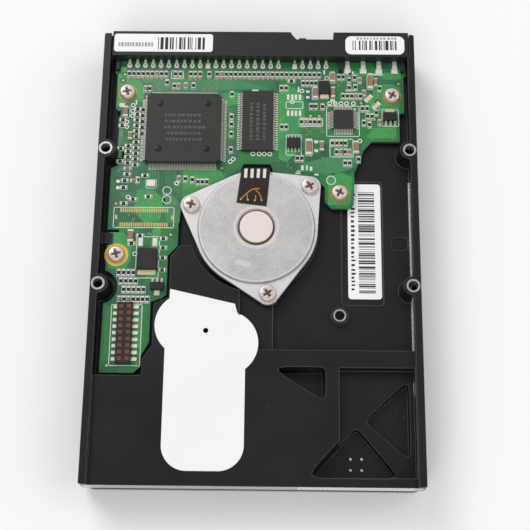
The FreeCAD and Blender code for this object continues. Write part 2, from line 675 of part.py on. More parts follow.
shaft_radius = size("spindle_shaft_diameter") / 2
sleeve = Piece("bearing_sleeve")
sleeve.pad([disc(0, disc_y, sleeve_radius),
            disc(0, disc_y, shaft_radius + size("spindle_clearance"))], level(6.2), level(16.0))
shaft = Piece("spindle_shaft")
shaft.pad([disc(0, disc_y, shaft_radius)], level(4.6), level(15.8))

platter_low = level(5.65)
platter_high = platter_low + size("platter_thickness")
bore = size("platter_bore") / 2
hub = Piece("spindle_hub")
hub.pad([disc(0, disc_y, bore)], level(4.6), platter_high + 0.2)
hub.pad([disc(0, disc_y, bore + 2)], platter_high, level(9.2))
hub.pad([disc(0, disc_y, 15.0)], level(9.0), level(14.2))
hub.pocket([disc(0, disc_y, 14.0)], level(10.3), level(15))
hub.pocket([disc(0, disc_y, 5.6)], level(5.8), level(15))
hub.pocket([disc(0, disc_y, shaft_radius)], level(4), level(15))
clamp_spots = [around(0, disc_y, 8.6, angle) for angle in (30, 150, 270)]
hub.pocket([disc(x, y, 0.8) for x, y in clamp_spots], level(4), level(7.8))
ring = Piece("rotor_magnet")
ring.pad([disc(0, disc_y, 14.0), disc(0, disc_y, 12.6)], level(10.8), level(14.0))

platter = Piece("platter")
platter.pad([disc(0, disc_y, size("platter_diameter") / 2), disc(0, disc_y, bore)],
            platter_low, platter_high)
clamp = Piece("platter_clamp")
clamp.pad([disc(0, disc_y, bore + 2)], level(3.4), platter_low)
clamp.pocket([disc(0, disc_y, bore + 0.6)], level(4.6), platter_low + 1)
clamp.pocket([disc(0, disc_y, 4.5)], level(3), level(6))
clamp.pocket([disc(x, y, 1.0) for x, y in clamp_spots], level(3), level(6))
screws("clamp_screws", clamp_spots, level(7.4), level(3.4), level(2.4), 0.8, 1.6)

# Actuator: block with two arms, suspensions, sliders and the coil on the far side.
park = 79.0
arm = size("arm_length")
px, py = pivot
post_radius = size("pivot_post_diameter") / 2
block = Piece("actuator_block")
block.pad([disc(px, py, post_radius + 2.2)], level(3.4), level(9.2))
for low, high in ((3.6, 4.6), (7.9, 8.9)):
    block.pad([turned(px, py, park, [(0, -4.4), (arm - 18, -2.2), (arm - 17, -1.2),
                                     (arm - 17, 1.2), (arm - 18, 2.2), (0, 4.4)])],
              level(low), level(high))
    block.pocket([turned(px, py, park, [(9, -1.6), (arm - 26, -0.9), (arm - 26, 0.9), (9, 1.6)])],
                 level(low) - 0.3, level(high) + 0.3)
web = sector("actuator_web", px, py, post_radius + 1, size("coil_inner_radius"),
             park + 164, park + 196, level(5.6), level(8.0))
bearing_bore = rod("actuator_bore", px, py, level(3), level(10),
                   post_radius + size("pivot_clearance"))
block_body = join("MultiFuse", "actuator_casting", [block.body, web])
block.body.Label = "actuator_arms"
block_final = join("Cut", "actuator_carriage", [block_body, bearing_bore])

suspension_low, suspension_high = level(4.6), level(7.9)
leaf = [(arm - 19, -1.9), (arm, -0.6), (arm + 0.9, -0.3), (arm + 0.9, 0.3), (arm, 0.6),
        (arm - 19, 1.9)]
leaves = Piece("head_suspensions")
leaves.pad([turned(px, py, park, leaf)], suspension_low, suspension_low + 0.2)
leaves.pad([turned(px, py, park, leaf)], suspension_high - 0.2, suspension_high)
sliders = Piece("head_sliders")
foot = turned(px, py, park, [(arm - 0.7, -0.5), (arm + 0.6, -0.5), (arm + 0.6, 0.5),
                             (arm - 0.7, 0.5)])
sliders.pad([foot], suspension_low + 0.2, platter_low - size("slider_gap"))
sliders.pad([foot], platter_high + size("slider_gap"), suspension_high - 0.2)

coil_whole = sector("coil_whole", px, py, size("coil_inner_radius"), size("coil_outer_radius"),
                    park + 164, park + 196, level(5.6), level(8.0))
coil_eye = sector("coil_eye", px, py, size("coil_inner_radius") + 3,
                  size("coil_outer_radius") - 3, park + 173, park + 187, level(5), level(9))
join("Cut", "voice_coil", [coil_whole, coil_eye])

post = Piece("pivot_bearing")
post.pad([disc(px, py, post_radius)], level(2.8), coil_ceiling)
post.pocket([disc(px, py, 1.2)], level(2), level(8.2))
screws("pivot_screw", [(px, py)], level(8.0), level(2.8), level(1.6), 1.2, 2.6)

yoke_outer = size("coil_outer_radius") + 1.5
sector("upper_yoke", px, py, 11.0, yoke_outer, 228, 316, level(9.4), coil_ceiling)
sector("lower_yoke", px, py, 11.0, yoke_outer, 228, 316, level(2.4), level(3.8))
join("Compound", "voice_coil_magnets", [
    sector("magnet_upper", px, py, 12.0, yoke_outer - 1, 241, 304, level(8.6), level(9.4)),
    sector("magnet_lower", px, py, 12.0, yoke_outer - 1, 241, 304, level(3.8), level(4.9))])
pillars = Piece("yoke_posts")
pillars.pad([disc(*around(px, py, 18.0, angle), 1.3) for angle in (232, 312)],
            level(3.8), level(9.4))
stops = Piece("crash_stops")
stops.pad([disc(*around(px, py, 9.0, angle), 1.1) for angle in (235.0, 310.2)],
          level(2.6), coil_ceiling)

bracket = Piece("flex_bracket")
bracket.pad([box(-42.5, -37.4, -36.2, -18.0)], level(9.1), disc_ceiling)
pins = Piece("flex_pins")
pins.pad([box(x - 0.2, y - 0.2, x + 0.2, y + 0.2) for x, y in socket_spots],
         disc_ceiling, board_high + 1.2)
ribbon = Piece("actuator_flex")
ribbon.pad([[(-39.6, -36.8), (-39.6, -44.7), (-36.4, -44.7), (-36.4, -44.55), (-39.45, -44.55),
             (-39.45, -36.8)]], level(6.0), level(9.1))
dust = Piece("recirculation_filter")
dust.pad([[(36.2, 41.2), (41.6, 37.1), (42.6, 38.4), (37.2, 42.5)]], level(2.4), disc_ceiling)
vent = Piece("breather_filter")
vent.pad([disc(*breather, 4.0)], level(8.4), disc_ceiling)

block_final.Label = "actuator_block"

NODES = """base_casting top_cover cover_gasket cover_screws cover_label base_seal_label
barcode_label connector_label_left connector_label_right circuit_board board_insulator
board_screws board_washer controller_chip memory_chip servo_chip flash_chip power_transistor
regulator_rear regulator_side small_regulator crystal head_connector head_connector_contacts
chip_capacitors connector_housing ide_pins jumper_pins power_pins jumper_shunt motor_flange
motor_screws motor_cap motor_flex stator_core stator_coils bearing_sleeve spindle_shaft
spindle_hub rotor_magnet platter platter_clamp clamp_screws actuator_block head_suspensions
head_sliders voice_coil pivot_bearing pivot_screw upper_yoke lower_yoke voice_coil_magnets
yoke_posts crash_stops flex_bracket flex_pins actuator_flex recirculation_filter
breather_filter""".split()

doc.recompute()
for item in doc.Objects:
    if "Invalid" in item.State or "Error" in item.State:
        raise RuntimeError("%s did not build: %s" % (item.Label, item.State))

labels = {item.Label: item for item in doc.Objects}
os.makedirs("parts", exist_ok=True)
for name in NODES:
    shape = labels[name].Shape
    if shape.isNull() or not shape.isValid() or not shape.Solids:
        raise RuntimeError("%s has no sound shape" % name)
    shape.exportStep("parts/%s.step" % name)
    print("%-26s %2d solids %10.2f" % (name, len(shape.Solids), shape.Volume))
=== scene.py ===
import math
import random

import bmesh
import bpy
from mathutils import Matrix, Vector


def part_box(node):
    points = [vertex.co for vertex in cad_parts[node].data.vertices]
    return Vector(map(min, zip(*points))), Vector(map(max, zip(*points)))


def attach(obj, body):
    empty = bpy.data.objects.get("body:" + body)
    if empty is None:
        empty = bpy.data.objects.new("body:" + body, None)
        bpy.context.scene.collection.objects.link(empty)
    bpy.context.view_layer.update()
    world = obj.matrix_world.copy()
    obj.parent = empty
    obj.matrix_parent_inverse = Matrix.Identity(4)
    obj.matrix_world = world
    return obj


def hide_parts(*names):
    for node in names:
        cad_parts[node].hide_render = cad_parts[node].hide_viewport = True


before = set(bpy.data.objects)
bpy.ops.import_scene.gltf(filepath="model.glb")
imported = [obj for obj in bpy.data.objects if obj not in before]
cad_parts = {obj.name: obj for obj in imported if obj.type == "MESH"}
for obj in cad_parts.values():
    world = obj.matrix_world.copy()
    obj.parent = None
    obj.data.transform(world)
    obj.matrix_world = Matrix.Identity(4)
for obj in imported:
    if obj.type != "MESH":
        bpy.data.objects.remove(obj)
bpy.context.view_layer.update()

bl_info = {
    "name": "Disk drive finishing",
    "version": (1, 0, 0),
    "blender": (4, 5, 0),
    "location": "View3D > Sidebar > Drive",
    "description": "Gives a slim hard disk drive its small parts, prints and finishes",
    "category": "Object",
}

MM = 0.001
CHASSIS = "chassis"
BOARD_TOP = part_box("circuit_board")[1].z / MM
FLANGE_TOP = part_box("motor_flange")[1].z / MM
DISC_CENTRE = (0.0, 6.0)
INK = 0.012  # how thick a print stands on its label, chip or board


# ---------------------------------------------------------------- settings

class PaintSettings(bpy.types.PropertyGroup):
    colour: bpy.props.FloatVectorProperty(
        name="Paint", description="Colour of the painted casting", subtype="COLOR", size=3,
        default=(0.0068, 0.0064, 0.0066), min=0.0, max=1.0)
    roughness: bpy.props.FloatProperty(
        name="Paint roughness", description="Roughness of the painted casting",
        subtype="FACTOR", default=0.36, min=0.0, max=1.0)
    edge: bpy.props.FloatProperty(
        name="Edge radius", description="How softly the casting's edges are rounded",
        subtype="DISTANCE", unit="LENGTH", default=0.00035, min=0.0, max=0.002)


class BoardSettings(bpy.types.PropertyGroup):
    pour: bpy.props.FloatVectorProperty(
        name="Mask over copper", description="Solder mask where copper lies under it",
        subtype="COLOR", size=3, default=(0.04, 0.305, 0.078), min=0.0, max=1.0)
    bare: bpy.props.FloatVectorProperty(
        name="Mask over laminate", description="Solder mask where no copper lies under it",
        subtype="COLOR", size=3, default=(0.014, 0.115, 0.052), min=0.0, max=1.0)
    track_width: bpy.props.FloatProperty(
        name="Track width", description="Width of one copper track", subtype="DISTANCE",
        unit="LENGTH", default=0.00022, min=0.00005, max=0.002)


class PrintSettings(bpy.types.PropertyGroup):
    bar_count: bpy.props.IntProperty(
        name="Bars", description="Bars printed on the long label", default=46, min=4, max=200)
    seed: bpy.props.IntProperty(
        name="Seed", description="Fixes the widths of the printed bars", default=7, min=0)


class StageSettings(bpy.types.PropertyGroup):
    camera_place: bpy.props.FloatVectorProperty(
        name="Camera place", description="Where the camera stands", subtype="XYZ",
        unit="LENGTH", size=3, default=(0.0070, -0.11822, 0.35697))
    camera_turn: bpy.props.FloatVectorProperty(
        name="Camera turn", description="How the camera is turned", subtype="EULER", size=3,
        default=(math.radians(18.205), math.radians(0.478), math.radians(0.681)))
    focal: bpy.props.FloatProperty(
        name="Focal length", description="Focal length on a 36 mm sensor", default=80.09,
        min=10.0, max=400.0)


SETTINGS = {"drive_paint": PaintSettings, "drive_board": BoardSettings,
            "drive_print": PrintSettings, "drive_stage": StageSettings}


def settings(name):
    return getattr(bpy.context.scene, name)


# ---------------------------------------------------------------- shader maths

class Value:
    """One shader value. Arithmetic on it adds Math nodes to its finish."""

    def __init__(self, finish, socket):
        self.finish, self.socket = finish, socket

    def math(self, operation, *others, first=None):
        values = [self if first is None else first, *others]
        return self.finish.node("ShaderNodeMath", {"operation": operation},
                                dict(enumerate(values)))

    def __add__(self, other):
        return self.math("ADD", other)

    __radd__ = __add__

    def __mul__(self, other):
        return self.math("MULTIPLY", other)

    __rmul__ = __mul__

    def __sub__(self, other):
        return self.math("SUBTRACT", other)

    def __rsub__(self, other):
        return self.math("SUBTRACT", self, first=other)

    def __gt__(self, other):
        return self.math("GREATER_THAN", other)

    def __lt__(self, other):
        return self.math("LESS_THAN", other)

    def wave(self):
        return self.math("SINE")

    def power(self, other):
        return self.math("POWER", other)

    def between(self, low, high):
        return (self > low) * (self < high)


class Finish:
    """A material on one Principled shader, built up by small steps."""

    def __init__(self, name, colour, roughness, metallic=0.0, **fixed):
        self.material = bpy.data.materials.new(name)
        self.material.use_nodes = True
        self.tree = self.material.node_tree
        self.tree.nodes.clear()
        self.shader = self.tree.nodes.new("ShaderNodeBsdfPrincipled")
        output = self.tree.nodes.new("ShaderNodeOutputMaterial")
        self.tree.links.new(self.shader.outputs[0], output.inputs[0])
        self.set("Base Color", colour)
        self.set("Roughness", roughness)
        self.set("Metallic", metallic)
        for name, value in fixed.items():
            self.set(name.replace("_", " "), value)
        self.material.diffuse_color = (0.5, 0.5, 0.5, 1)

    def put(self, socket, value):
        if isinstance(value, Value):
            self.tree.links.new(value.socket, socket)
        elif isinstance(value, (tuple, list)) and len(value) == 3 and socket.type == "RGBA":
            socket.default_value = (*value, 1.0)
        else:
            socket.default_value = value

    def set(self, name, value):
        self.put(self.shader.inputs[name], value)

    def node(self, kind, options=None, inputs=None, output=0):
        made = self.tree.nodes.new(kind)
        for key, value in (options or {}).items():
            if key == "stops":
                ramp = made.color_ramp.elements
                while len(ramp) < len(value):
                    ramp.new(0.5)
                for element, (place, shade) in zip(ramp, value):
                    element.position = place
                    element.color = (shade, shade, shade, 1)
            else:
                setattr(made, key, value)
        for key, value in (inputs or {}).items():
            self.put(made.inputs[key], value)
        return Value(self, made.outputs[output])

    def place(self):
        return self.node("ShaderNodeTexCoord", output="Object")

    def axes(self):
        place = self.place()
        return [self.node("ShaderNodeSeparateXYZ", inputs={0: place}, output=i)
                for i in range(3)]

    def millimetres(self):
        return [axis * 1000.0 for axis in self.axes()]

    def noise(self, scale, detail=2.0, roughness=0.5, stretch=None):
        where = self.place()
        if stretch:
            where = self.node("ShaderNodeVectorMath", {"operation": "MULTIPLY"},
                              {0: where, 1: stretch})
        return self.node("ShaderNodeTexNoise", inputs={"Vector": where, "Scale": scale,
                                                       "Detail": detail,
                                                       "Roughness": roughness})

    def cells(self, scale):
        return self.node("ShaderNodeTexVoronoi", inputs={"Vector": self.place(),
                                                         "Scale": scale})

    def ramp(self, value, stops):
        return self.node("ShaderNodeValToRGB", {"stops": stops}, {0: value})

    def mix(self, factor, first, second):
        return self.node("ShaderNodeMix", {"data_type": "RGBA"},
                         {0: factor, 6: first, 7: second}, output=2)

    def bump(self, height, strength, depth, edge=0.0):
        inputs = {"Height": height, "Strength": strength, "Distance": depth}
        if edge:
            inputs["Normal"] = self.rounded(edge)
        self.set("Normal", self.node("ShaderNodeBump", inputs=inputs))

    def rounded(self, edge):
        return self.node("ShaderNodeBevel", {"samples": 4}, {"Radius": edge})

    def painted_edge_highlight(self, edge):
        """A painted highlight mask: rises from 0 on flat faces to 1 where two faces meet."""
        flat = self.node("ShaderNodeNewGeometry", output="Normal")
        match = self.node("ShaderNodeVectorMath", {"operation": "DOT_PRODUCT"},
                          {0: self.rounded(edge), 1: flat}, output="Value")
        return self.ramp(1.0 - match, ((0.02, 0.0), (0.22, 1.0)))


def tint(red, green, blue):
    """A screen colour from 0 to 255, as the linear colour a shader wants."""
    return tuple((c / 255 / 12.92) if c <= 10 else ((c / 255 + 0.055) / 1.055) ** 2.4
                 for c in (red, green, blue))


def away_from(spot, x, y):
    """How far a place is from an upright line through the spot."""
    return ((x - spot[0]).power(2.0) + (y - spot[1]).power(2.0)).power(0.5)


# ---------------------------------------------------------------- finishes

HOLE_RIMS = [(x, y) for x in (-47.625, 47.625) for y in (31.72, -12.73)]
TAPPED_POST = (25.6, -21.1)


def black_paint(name):
    """Satin black paint over the casting, bare metal on the machined places and worn edges, and a
    painted highlight lightening every edge.
    """
    paint = settings("drive_paint")
    made = Finish(name, tuple(paint.colour), paint.roughness, Specular_IOR_Level=0.3)
    x, y, z = made.millimetres()
    lip = (y < -72.96) * z.between(9.6, 15.5)
    bare = lip
    for rim in HOLE_RIMS:
        bare = bare + (away_from(rim, x, y) < 2.1) * (z > 14.0)
    bare = bare + (away_from(TAPPED_POST, x, y) < 1.95) * (z > 12.0)
    chips = made.noise(300.0, 3.0, 0.7, (1.0, 0.12, 1.0))
    ledge = x.between(47.45, 47.86) * (z < 15.5) * (chips > 0.42)
    bare = bare + ledge * (y.between(-34.0, 23.0) + y.between(-71.0, -62.0) * 0.7
                           + y.between(-46.0, -41.5) * 0.8)
    bare = bare.math("MINIMUM", 1.0)
    smudge = made.noise(55.0, 4.0, 0.6)
    scuff = made.ramp(made.noise(210.0, 5.0, 0.75, (1.0, 0.35, 1.0)), ((0.66, 0.0), (0.74, 1.0)))
    # Painted highlight: the edge mask lightens the paint where two faces meet, as if the rounded
    # edges caught the light.
    edge = made.painted_edge_highlight(paint.edge)
    colour = made.mix(made.ramp(smudge, ((0.35, 0.0), (0.7, 1.0))), tuple(paint.colour),
                      tuple(c * 1.6 for c in paint.colour))
    # Random scuffs are real wear; the edge mask adds the painted highlight along every edge.
    colour = made.mix(scuff * 0.14 + edge * 0.55, colour, tint(150, 148, 154))
    shine = made.mix(made.noise(900.0), tint(178, 170, 168), tint(222, 214, 212))
    strip = lip * x.between(13.0, 46.5)
    ticks = ((x * 5.0).wave() > 0.2) * z.between(11.2, 13.6) * strip
    shine = made.mix(strip, shine, made.mix(ticks * 0.35, tint(226, 222, 222),
                                            tint(120, 116, 120)))
    made.set("Base Color", made.mix(bare, colour, shine))
    made.set("Metallic", (bare - strip) * 0.8)
    fine = made.noise(2600.0, 3.0, 0.6)
    made.set("Roughness", paint.roughness - 0.08 + 0.16 * smudge - 0.1 * bare)
    made.bump(fine, 0.22, 0.00004, paint.edge)
    return made


def metal(name, dark, light, roughness, grain=1600.0, stretch=None, edge=0.00012,
          depth=0.00002, metallic=1.0):
    dark, light = tint(*dark), tint(*light)
    made = Finish(name, dark, roughness, metallic)
    fine = made.noise(grain, 3.0, 0.6, stretch)
    broad = made.noise(grain / 18.0, 3.0, 0.6)
    made.set("Base Color", made.mix(broad * 0.6 + fine * 0.4, dark, light))
    made.set("Roughness", roughness - 0.08 + 0.16 * fine)
    made.bump(fine, 0.25, depth, edge)
    return made


def cast_flange(name):
    """Bead-blasted aluminium: mottled skin, bright ears, a painted highlight on the disc's rounded
    lip, painted shade at the foot of the disc, and a turned ring round the middle.
    """
    made = Finish(name, tint(176, 174, 172), 0.5, 0.85)
    x, y, z = made.millimetres()
    gap = away_from(DISC_CENTRE, x, y)
    mottle = made.noise(520.0, 6.0, 0.7)
    patch = made.noise(75.0, 4.0, 0.65)
    speck = made.ramp(made.noise(3200.0, 2.0, 0.6), ((0.42, 0.0), (0.62, 1.0)))
    blend = mottle * 0.4 + patch * 0.42 + speck * 0.18
    base = made.mix(made.ramp(blend, ((0.32, 0.0), (0.66, 1.0))), tint(178, 175, 171),
                    tint(212, 209, 205))
    bright = made.mix(mottle, tint(198, 195, 194), tint(232, 230, 230))
    # The lower ears are lighter; the ring just inside the disc's edge is a painted highlight on its
    # rounded lip.
    base = made.mix((z < FLANGE_TOP - 0.3).math("MAXIMUM", gap.between(17.2, 17.75) * 0.75),
                    base, bright)
    pits = made.ramp(made.cells(260.0), ((0.05, 1.0), (0.09, 0.0)))
    base = made.mix(pits * 0.4, base, tint(120, 112, 100))
    # Painted shade: a dark ring on the ears at the foot of the raised disc, where its edge steps
    # down.
    step_shade = gap.between(17.8, 18.1) * (z < FLANGE_TOP - 0.3)
    base = made.mix(step_shade * 0.55, base, tint(60, 60, 62))
    base = made.mix(gap.between(5.9, 7.1) * (z > 15.5) * 0.7, base, bright)
    seal = gap.between(4.9, 5.75) * z.between(15.5, 16.4)
    made.set("Base Color", made.mix(seal, base, tint(112, 92, 56)))
    made.set("Roughness", 0.4 + 0.25 * mottle)
    made.bump(mottle * 0.6 + speck * 0.4, 0.35, 0.00006, 0.0004)
    return made


def bearing_ring(name):
    """The sleeve's end: a brown seal line inside a bright turned ring."""
    made = metal(name, (196, 190, 186), (228, 222, 218), 0.26, 1400.0)
    x, y, z = made.millimetres()
    gap = away_from(DISC_CENTRE, x, y)
    made.set("Base Color", made.mix(gap.between(4.9, 5.4) * (z > 15.5), tint(214, 208, 204),
                                    tint(104, 84, 52)))
    return made


def label_stock(name):
    made = Finish(name, tint(240, 240, 238), 0.5)
    fibre = made.noise(900.0, 4.0, 0.6)
    made.set("Base Color", made.mix(made.noise(40.0, 3.0), tint(236, 236, 235),
                                    tint(246, 246, 244)))
    made.set("Roughness", 0.42 + 0.14 * fibre)
    made.bump(fibre, 0.1, 0.00002)
    return made


def solder_mask(name):
    """Green mask: lighter over copper pours, darker over laminate, fine parallel tracks."""
    board = settings("drive_board")
    made = Finish(name, tuple(board.pour), 0.28, Coat_Weight=0.25, Coat_Roughness=0.12)
    x, y, z = made.millimetres()
    patch = made.ramp(made.cells(150.0), ((0.30, 0.0), (0.36, 1.0)))
    cloud = made.ramp(made.noise(95.0, 2.0), ((0.47, 0.0), (0.49, 1.0)))
    pour = tuple(board.pour)
    colour = made.mix(cloud, tuple(board.bare), tuple(c * 0.55 for c in pour))
    tracks = ((x + y) * 9.0).wave()
    upright = (x * 11.0).wave()
    lines = made.ramp(tracks, ((0.55, 0.0), (0.75, 1.0))) * cloud
    lines = lines + made.ramp(upright, ((0.6, 0.0), (0.8, 1.0))) * (1.0 - cloud) * patch
    colour = made.mix(lines * 0.35, colour, tuple(c * 0.9 for c in pour))
    top = z > BOARD_TOP - 0.02
    colour = made.mix(top, tint(52, 92, 52), colour)
    made.set("Base Color", colour)
    made.set("Roughness", 0.26 + 0.12 * made.noise(700.0))
    made.bump(lines, 0.25, 0.00003, 0.0001)
    return made


def copper_pour(name):
    board = settings("drive_board")
    made = Finish(name, tuple(board.pour), 0.3, Coat_Weight=0.25, Coat_Roughness=0.12)
    cloud = made.noise(160.0, 3.0)
    made.set("Base Color", made.mix(cloud, tuple(c * 0.86 for c in board.pour),
                                    tuple(c * 1.12 for c in board.pour)))
    made.set("Roughness", 0.24 + 0.12 * cloud)
    made.bump(made.noise(900.0), 0.1, 0.00002)
    return made


def mid_mask(name):
    made = Finish(name, tint(62, 130, 84), 0.32, Coat_Weight=0.15, Coat_Roughness=0.15)
    x, y, _ = made.axes()
    cloud = made.noise(140.0, 3.0)
    stripes = ((x - y) * 6000.0).wave()
    made.set("Base Color", made.mix(cloud, tint(54, 120, 76), tint(72, 138, 92)))
    made.set("Roughness", 0.26 + 0.14 * cloud)
    made.bump(stripes, 0.05, 0.00002)
    return made


def moulded(name, colour=(58, 58, 58), roughness=0.55, grain=2200.0, edge=0.00012):
    made = Finish(name, tint(*colour), roughness, Specular_IOR_Level=0.3)
    fine = made.noise(grain, 3.0, 0.6)
    broad = made.noise(130.0, 3.0)
    made.set("Base Color", made.mix(broad, tint(*[c * 0.9 for c in colour]),
                                    tint(*[c * 1.1 for c in colour])))
    made.set("Roughness", roughness - 0.08 + 0.16 * fine)
    made.bump(fine, 0.3, 0.00003, edge)
    return made


def plain(name, first, second, roughness, metallic=0.0, grain=1500.0, edge=0.0, bump=0.15):
    first, second = tint(*first), tint(*second)
    made = Finish(name, first, roughness, metallic)
    fine = made.noise(grain, 3.0, 0.6)
    made.set("Base Color", made.mix(fine, first, second))
    made.set("Roughness", roughness - 0.06 + 0.12 * fine)
    made.bump(fine, bump, 0.00002, edge)
    return made


def wound_copper(name):
    made = Finish(name, tint(160, 84, 46), 0.35, 0.9)
    _, _, z = made.axes()
    turns = (z * 26000.0).wave()
    made.set("Base Color", made.mix(turns * 0.5 + 0.5, tint(112, 52, 26), tint(196, 112, 62)))
    made.bump(turns, 0.6, 0.00008)
    return made


def stacked_steel(name):
    made = Finish(name, tint(120, 122, 126), 0.45, 1.0)
    _, _, z = made.axes()
    sheets = (z * 18000.0).wave()
    made.set("Base Color", made.mix(sheets * 0.5 + 0.5, tint(84, 86, 90), tint(150, 152, 156)))
    made.bump(sheets, 0.5, 0.00006)
    return made


def polished_disc(name):
    made = Finish(name, tint(206, 206, 210), 0.06, 1.0)
    x, y, _ = made.millimetres()
    gap = away_from(DISC_CENTRE, x, y)
    rings = (gap * 22.0).wave()
    made.set("Roughness", 0.05 + 0.03 * made.noise(300.0))
    made.bump(rings, 0.03, 0.00001)
    return made


# A maker, and for the general ones the screen colours and settings that it takes in turn.
MAKERS = {
    "black paint": (black_paint,),
    "cover sheet": (metal, (168, 170, 174), (206, 208, 212), 0.36, 900.0, (1.0, 14.0, 1.0)),
    "gasket": (plain, (34, 34, 36), (46, 46, 48), 0.8),
    "screw": (metal, (186, 174, 166), (230, 222, 214), 0.34, 1200.0, None, 0.0001),
    "label": (label_stock,),
    "mask": (solder_mask,),
    "pour": (copper_pour,),
    "mid": (mid_mask,),
    "film": (plain, (34, 34, 36), (44, 44, 46), 0.5),
    "yellow": (plain, (206, 168, 52), (232, 200, 92), 0.5, 0.0, 700.0),
    "chip": (moulded, (46, 48, 44), 0.42),
    "dark chip": (moulded, (36, 35, 34), 0.45),
    "chip well": (moulded, (24, 25, 26), 0.3),
    "cap face": (plain, (228, 219, 211), (240, 232, 226), 0.34, 0.35, 1500.0, 0.0003, 0.05),
    "screw face": (plain, (204, 190, 182), (234, 222, 216), 0.36, 0.55, 1500.0, 0.0002, 0.08),
    "seal ring": (bearing_ring,),
    # Painted shade for the dark of the screws' cross recesses.
    "recess": (plain, (70, 58, 50), (98, 84, 74), 0.5, 0.5),
    "pressed mark": (plain, (196, 193, 190), (214, 212, 210), 0.5, 0.6),
    "white part": (plain, (208, 208, 200), (236, 236, 230), 0.5),
    "tan part": (plain, (122, 98, 78), (154, 128, 104), 0.45),
    "pale part": (plain, (196, 182, 150), (222, 208, 178), 0.5),
    "connector": (moulded, (33, 36, 34), 0.42, 1500.0, 0.00025),
    "socket": (moulded, (42, 36, 34), 0.5),
    "gold": (plain, (172, 158, 92), (212, 196, 132), 0.4, 0.5),
    "ring gold": (plain, (142, 124, 72), (182, 160, 100), 0.45, 0.5),
    "tin": (plain, (176, 174, 164), (224, 222, 212), 0.36, 0.5),
    "solder": (plain, (206, 204, 192), (236, 234, 224), 0.4, 0.35),
    "cap shell": (moulded, (52, 52, 54), 0.45),
    "flange": (cast_flange,),
    "bearing": (metal, (196, 190, 186), (228, 222, 218), 0.26, 1400.0),
    "flex": (plain, (22, 16, 14), (40, 28, 22), 0.25, 0.0, 500.0, 0.0002),
    "copper": (plain, (140, 78, 52), (184, 110, 76), 0.4, 0.4),
    "wire": (plain, (176, 104, 40), (222, 158, 84), 0.35, 0.3),
    "laminations": (stacked_steel,),
    "winding": (wound_copper,),
    "turned": (metal, (176, 178, 180), (214, 216, 218), 0.28, 1500.0, (1.0, 9.0, 1.0)),
    "magnet": (metal, (96, 98, 102), (130, 132, 136), 0.4),
    "platter": (polished_disc,),
    "ceramic": (plain, (40, 36, 36), (58, 54, 52), 0.35),
    "felt": (plain, (214, 214, 206), (240, 240, 234), 0.9, 0.0, 1500.0, 0.0, 0.6),
    "stop": (plain, (60, 50, 44), (84, 72, 64), 0.7),
    "silk": (plain, (206, 218, 204), (226, 234, 222), 0.55),
    "ink": (plain, (24, 22, 26), (44, 42, 46), 0.6),
    "soft ink": (plain, (150, 146, 152), (176, 172, 178), 0.6),
    # Painted shade: the dark standing in for the via holes and pin bores.
    "hole": (plain, (10, 12, 10), (20, 22, 18), 0.7),
    "hollow green": (plain, (26, 84, 52), (34, 100, 62), 0.4),
    "chip print": (plain, (76, 76, 66), (88, 87, 74), 0.6),
    # Painted shade for the head socket's contact cups.
    "contact hollow": (plain, (20, 12, 10), (34, 20, 16), 0.6),
}
FINISHES = {}


def use(name):
    """The named finish, made when a piece first asks for it."""
    if name not in FINISHES:
        maker, *values = MAKERS[name]
        FINISHES[name] = maker(name, *values).material
    return FINISHES[name]


NODE_FINISH = {
    "base_casting": "black paint", "top_cover": "cover sheet", "cover_gasket": "gasket",
    "cover_label": "label", "base_seal_label": "label", "barcode_label": "label",
    "connector_label_left": "label", "connector_label_right": "label",
    "circuit_board": "mask", "board_insulator": "film", "board_washer": "yellow",
    "controller_chip": "chip", "memory_chip": "chip", "servo_chip": "chip",
    "flash_chip": "dark chip", "power_transistor": "dark chip", "regulator_rear": "dark chip",
    "regulator_side": "dark chip", "small_regulator": "dark chip", "crystal": "white part",
    "head_connector": "socket", "head_connector_contacts": "copper",
    "chip_capacitors": "tan part", "connector_housing": "connector", "ide_pins": "tin",
    "jumper_pins": "tin", "power_pins": "tin", "jumper_shunt": "cap shell",
    "motor_flange": "flange", "motor_cap": "cap face", "motor_flex": "flex",
    "stator_core": "laminations", "stator_coils": "winding", "bearing_sleeve": "seal ring",
    "spindle_shaft": "bearing", "spindle_hub": "turned", "rotor_magnet": "magnet",
    "platter": "platter", "platter_clamp": "turned", "clamp_screws": "screw",
    "actuator_block": "turned", "head_suspensions": "bearing", "head_sliders": "ceramic",
    "voice_coil": "winding", "pivot_bearing": "bearing", "pivot_screw": "screw",
    "upper_yoke": "magnet", "lower_yoke": "magnet", "voice_coil_magnets": "magnet",
    "yoke_posts": "turned", "crash_stops": "stop", "flex_bracket": "turned",
    "flex_pins": "gold", "actuator_flex": "flex", "recirculation_filter": "felt",
    "breather_filter": "felt", "board_screws": "screw", "motor_screws": "screw",
    "cover_screws": "screw",
}


# ---------------------------------------------------------------- mesh helpers

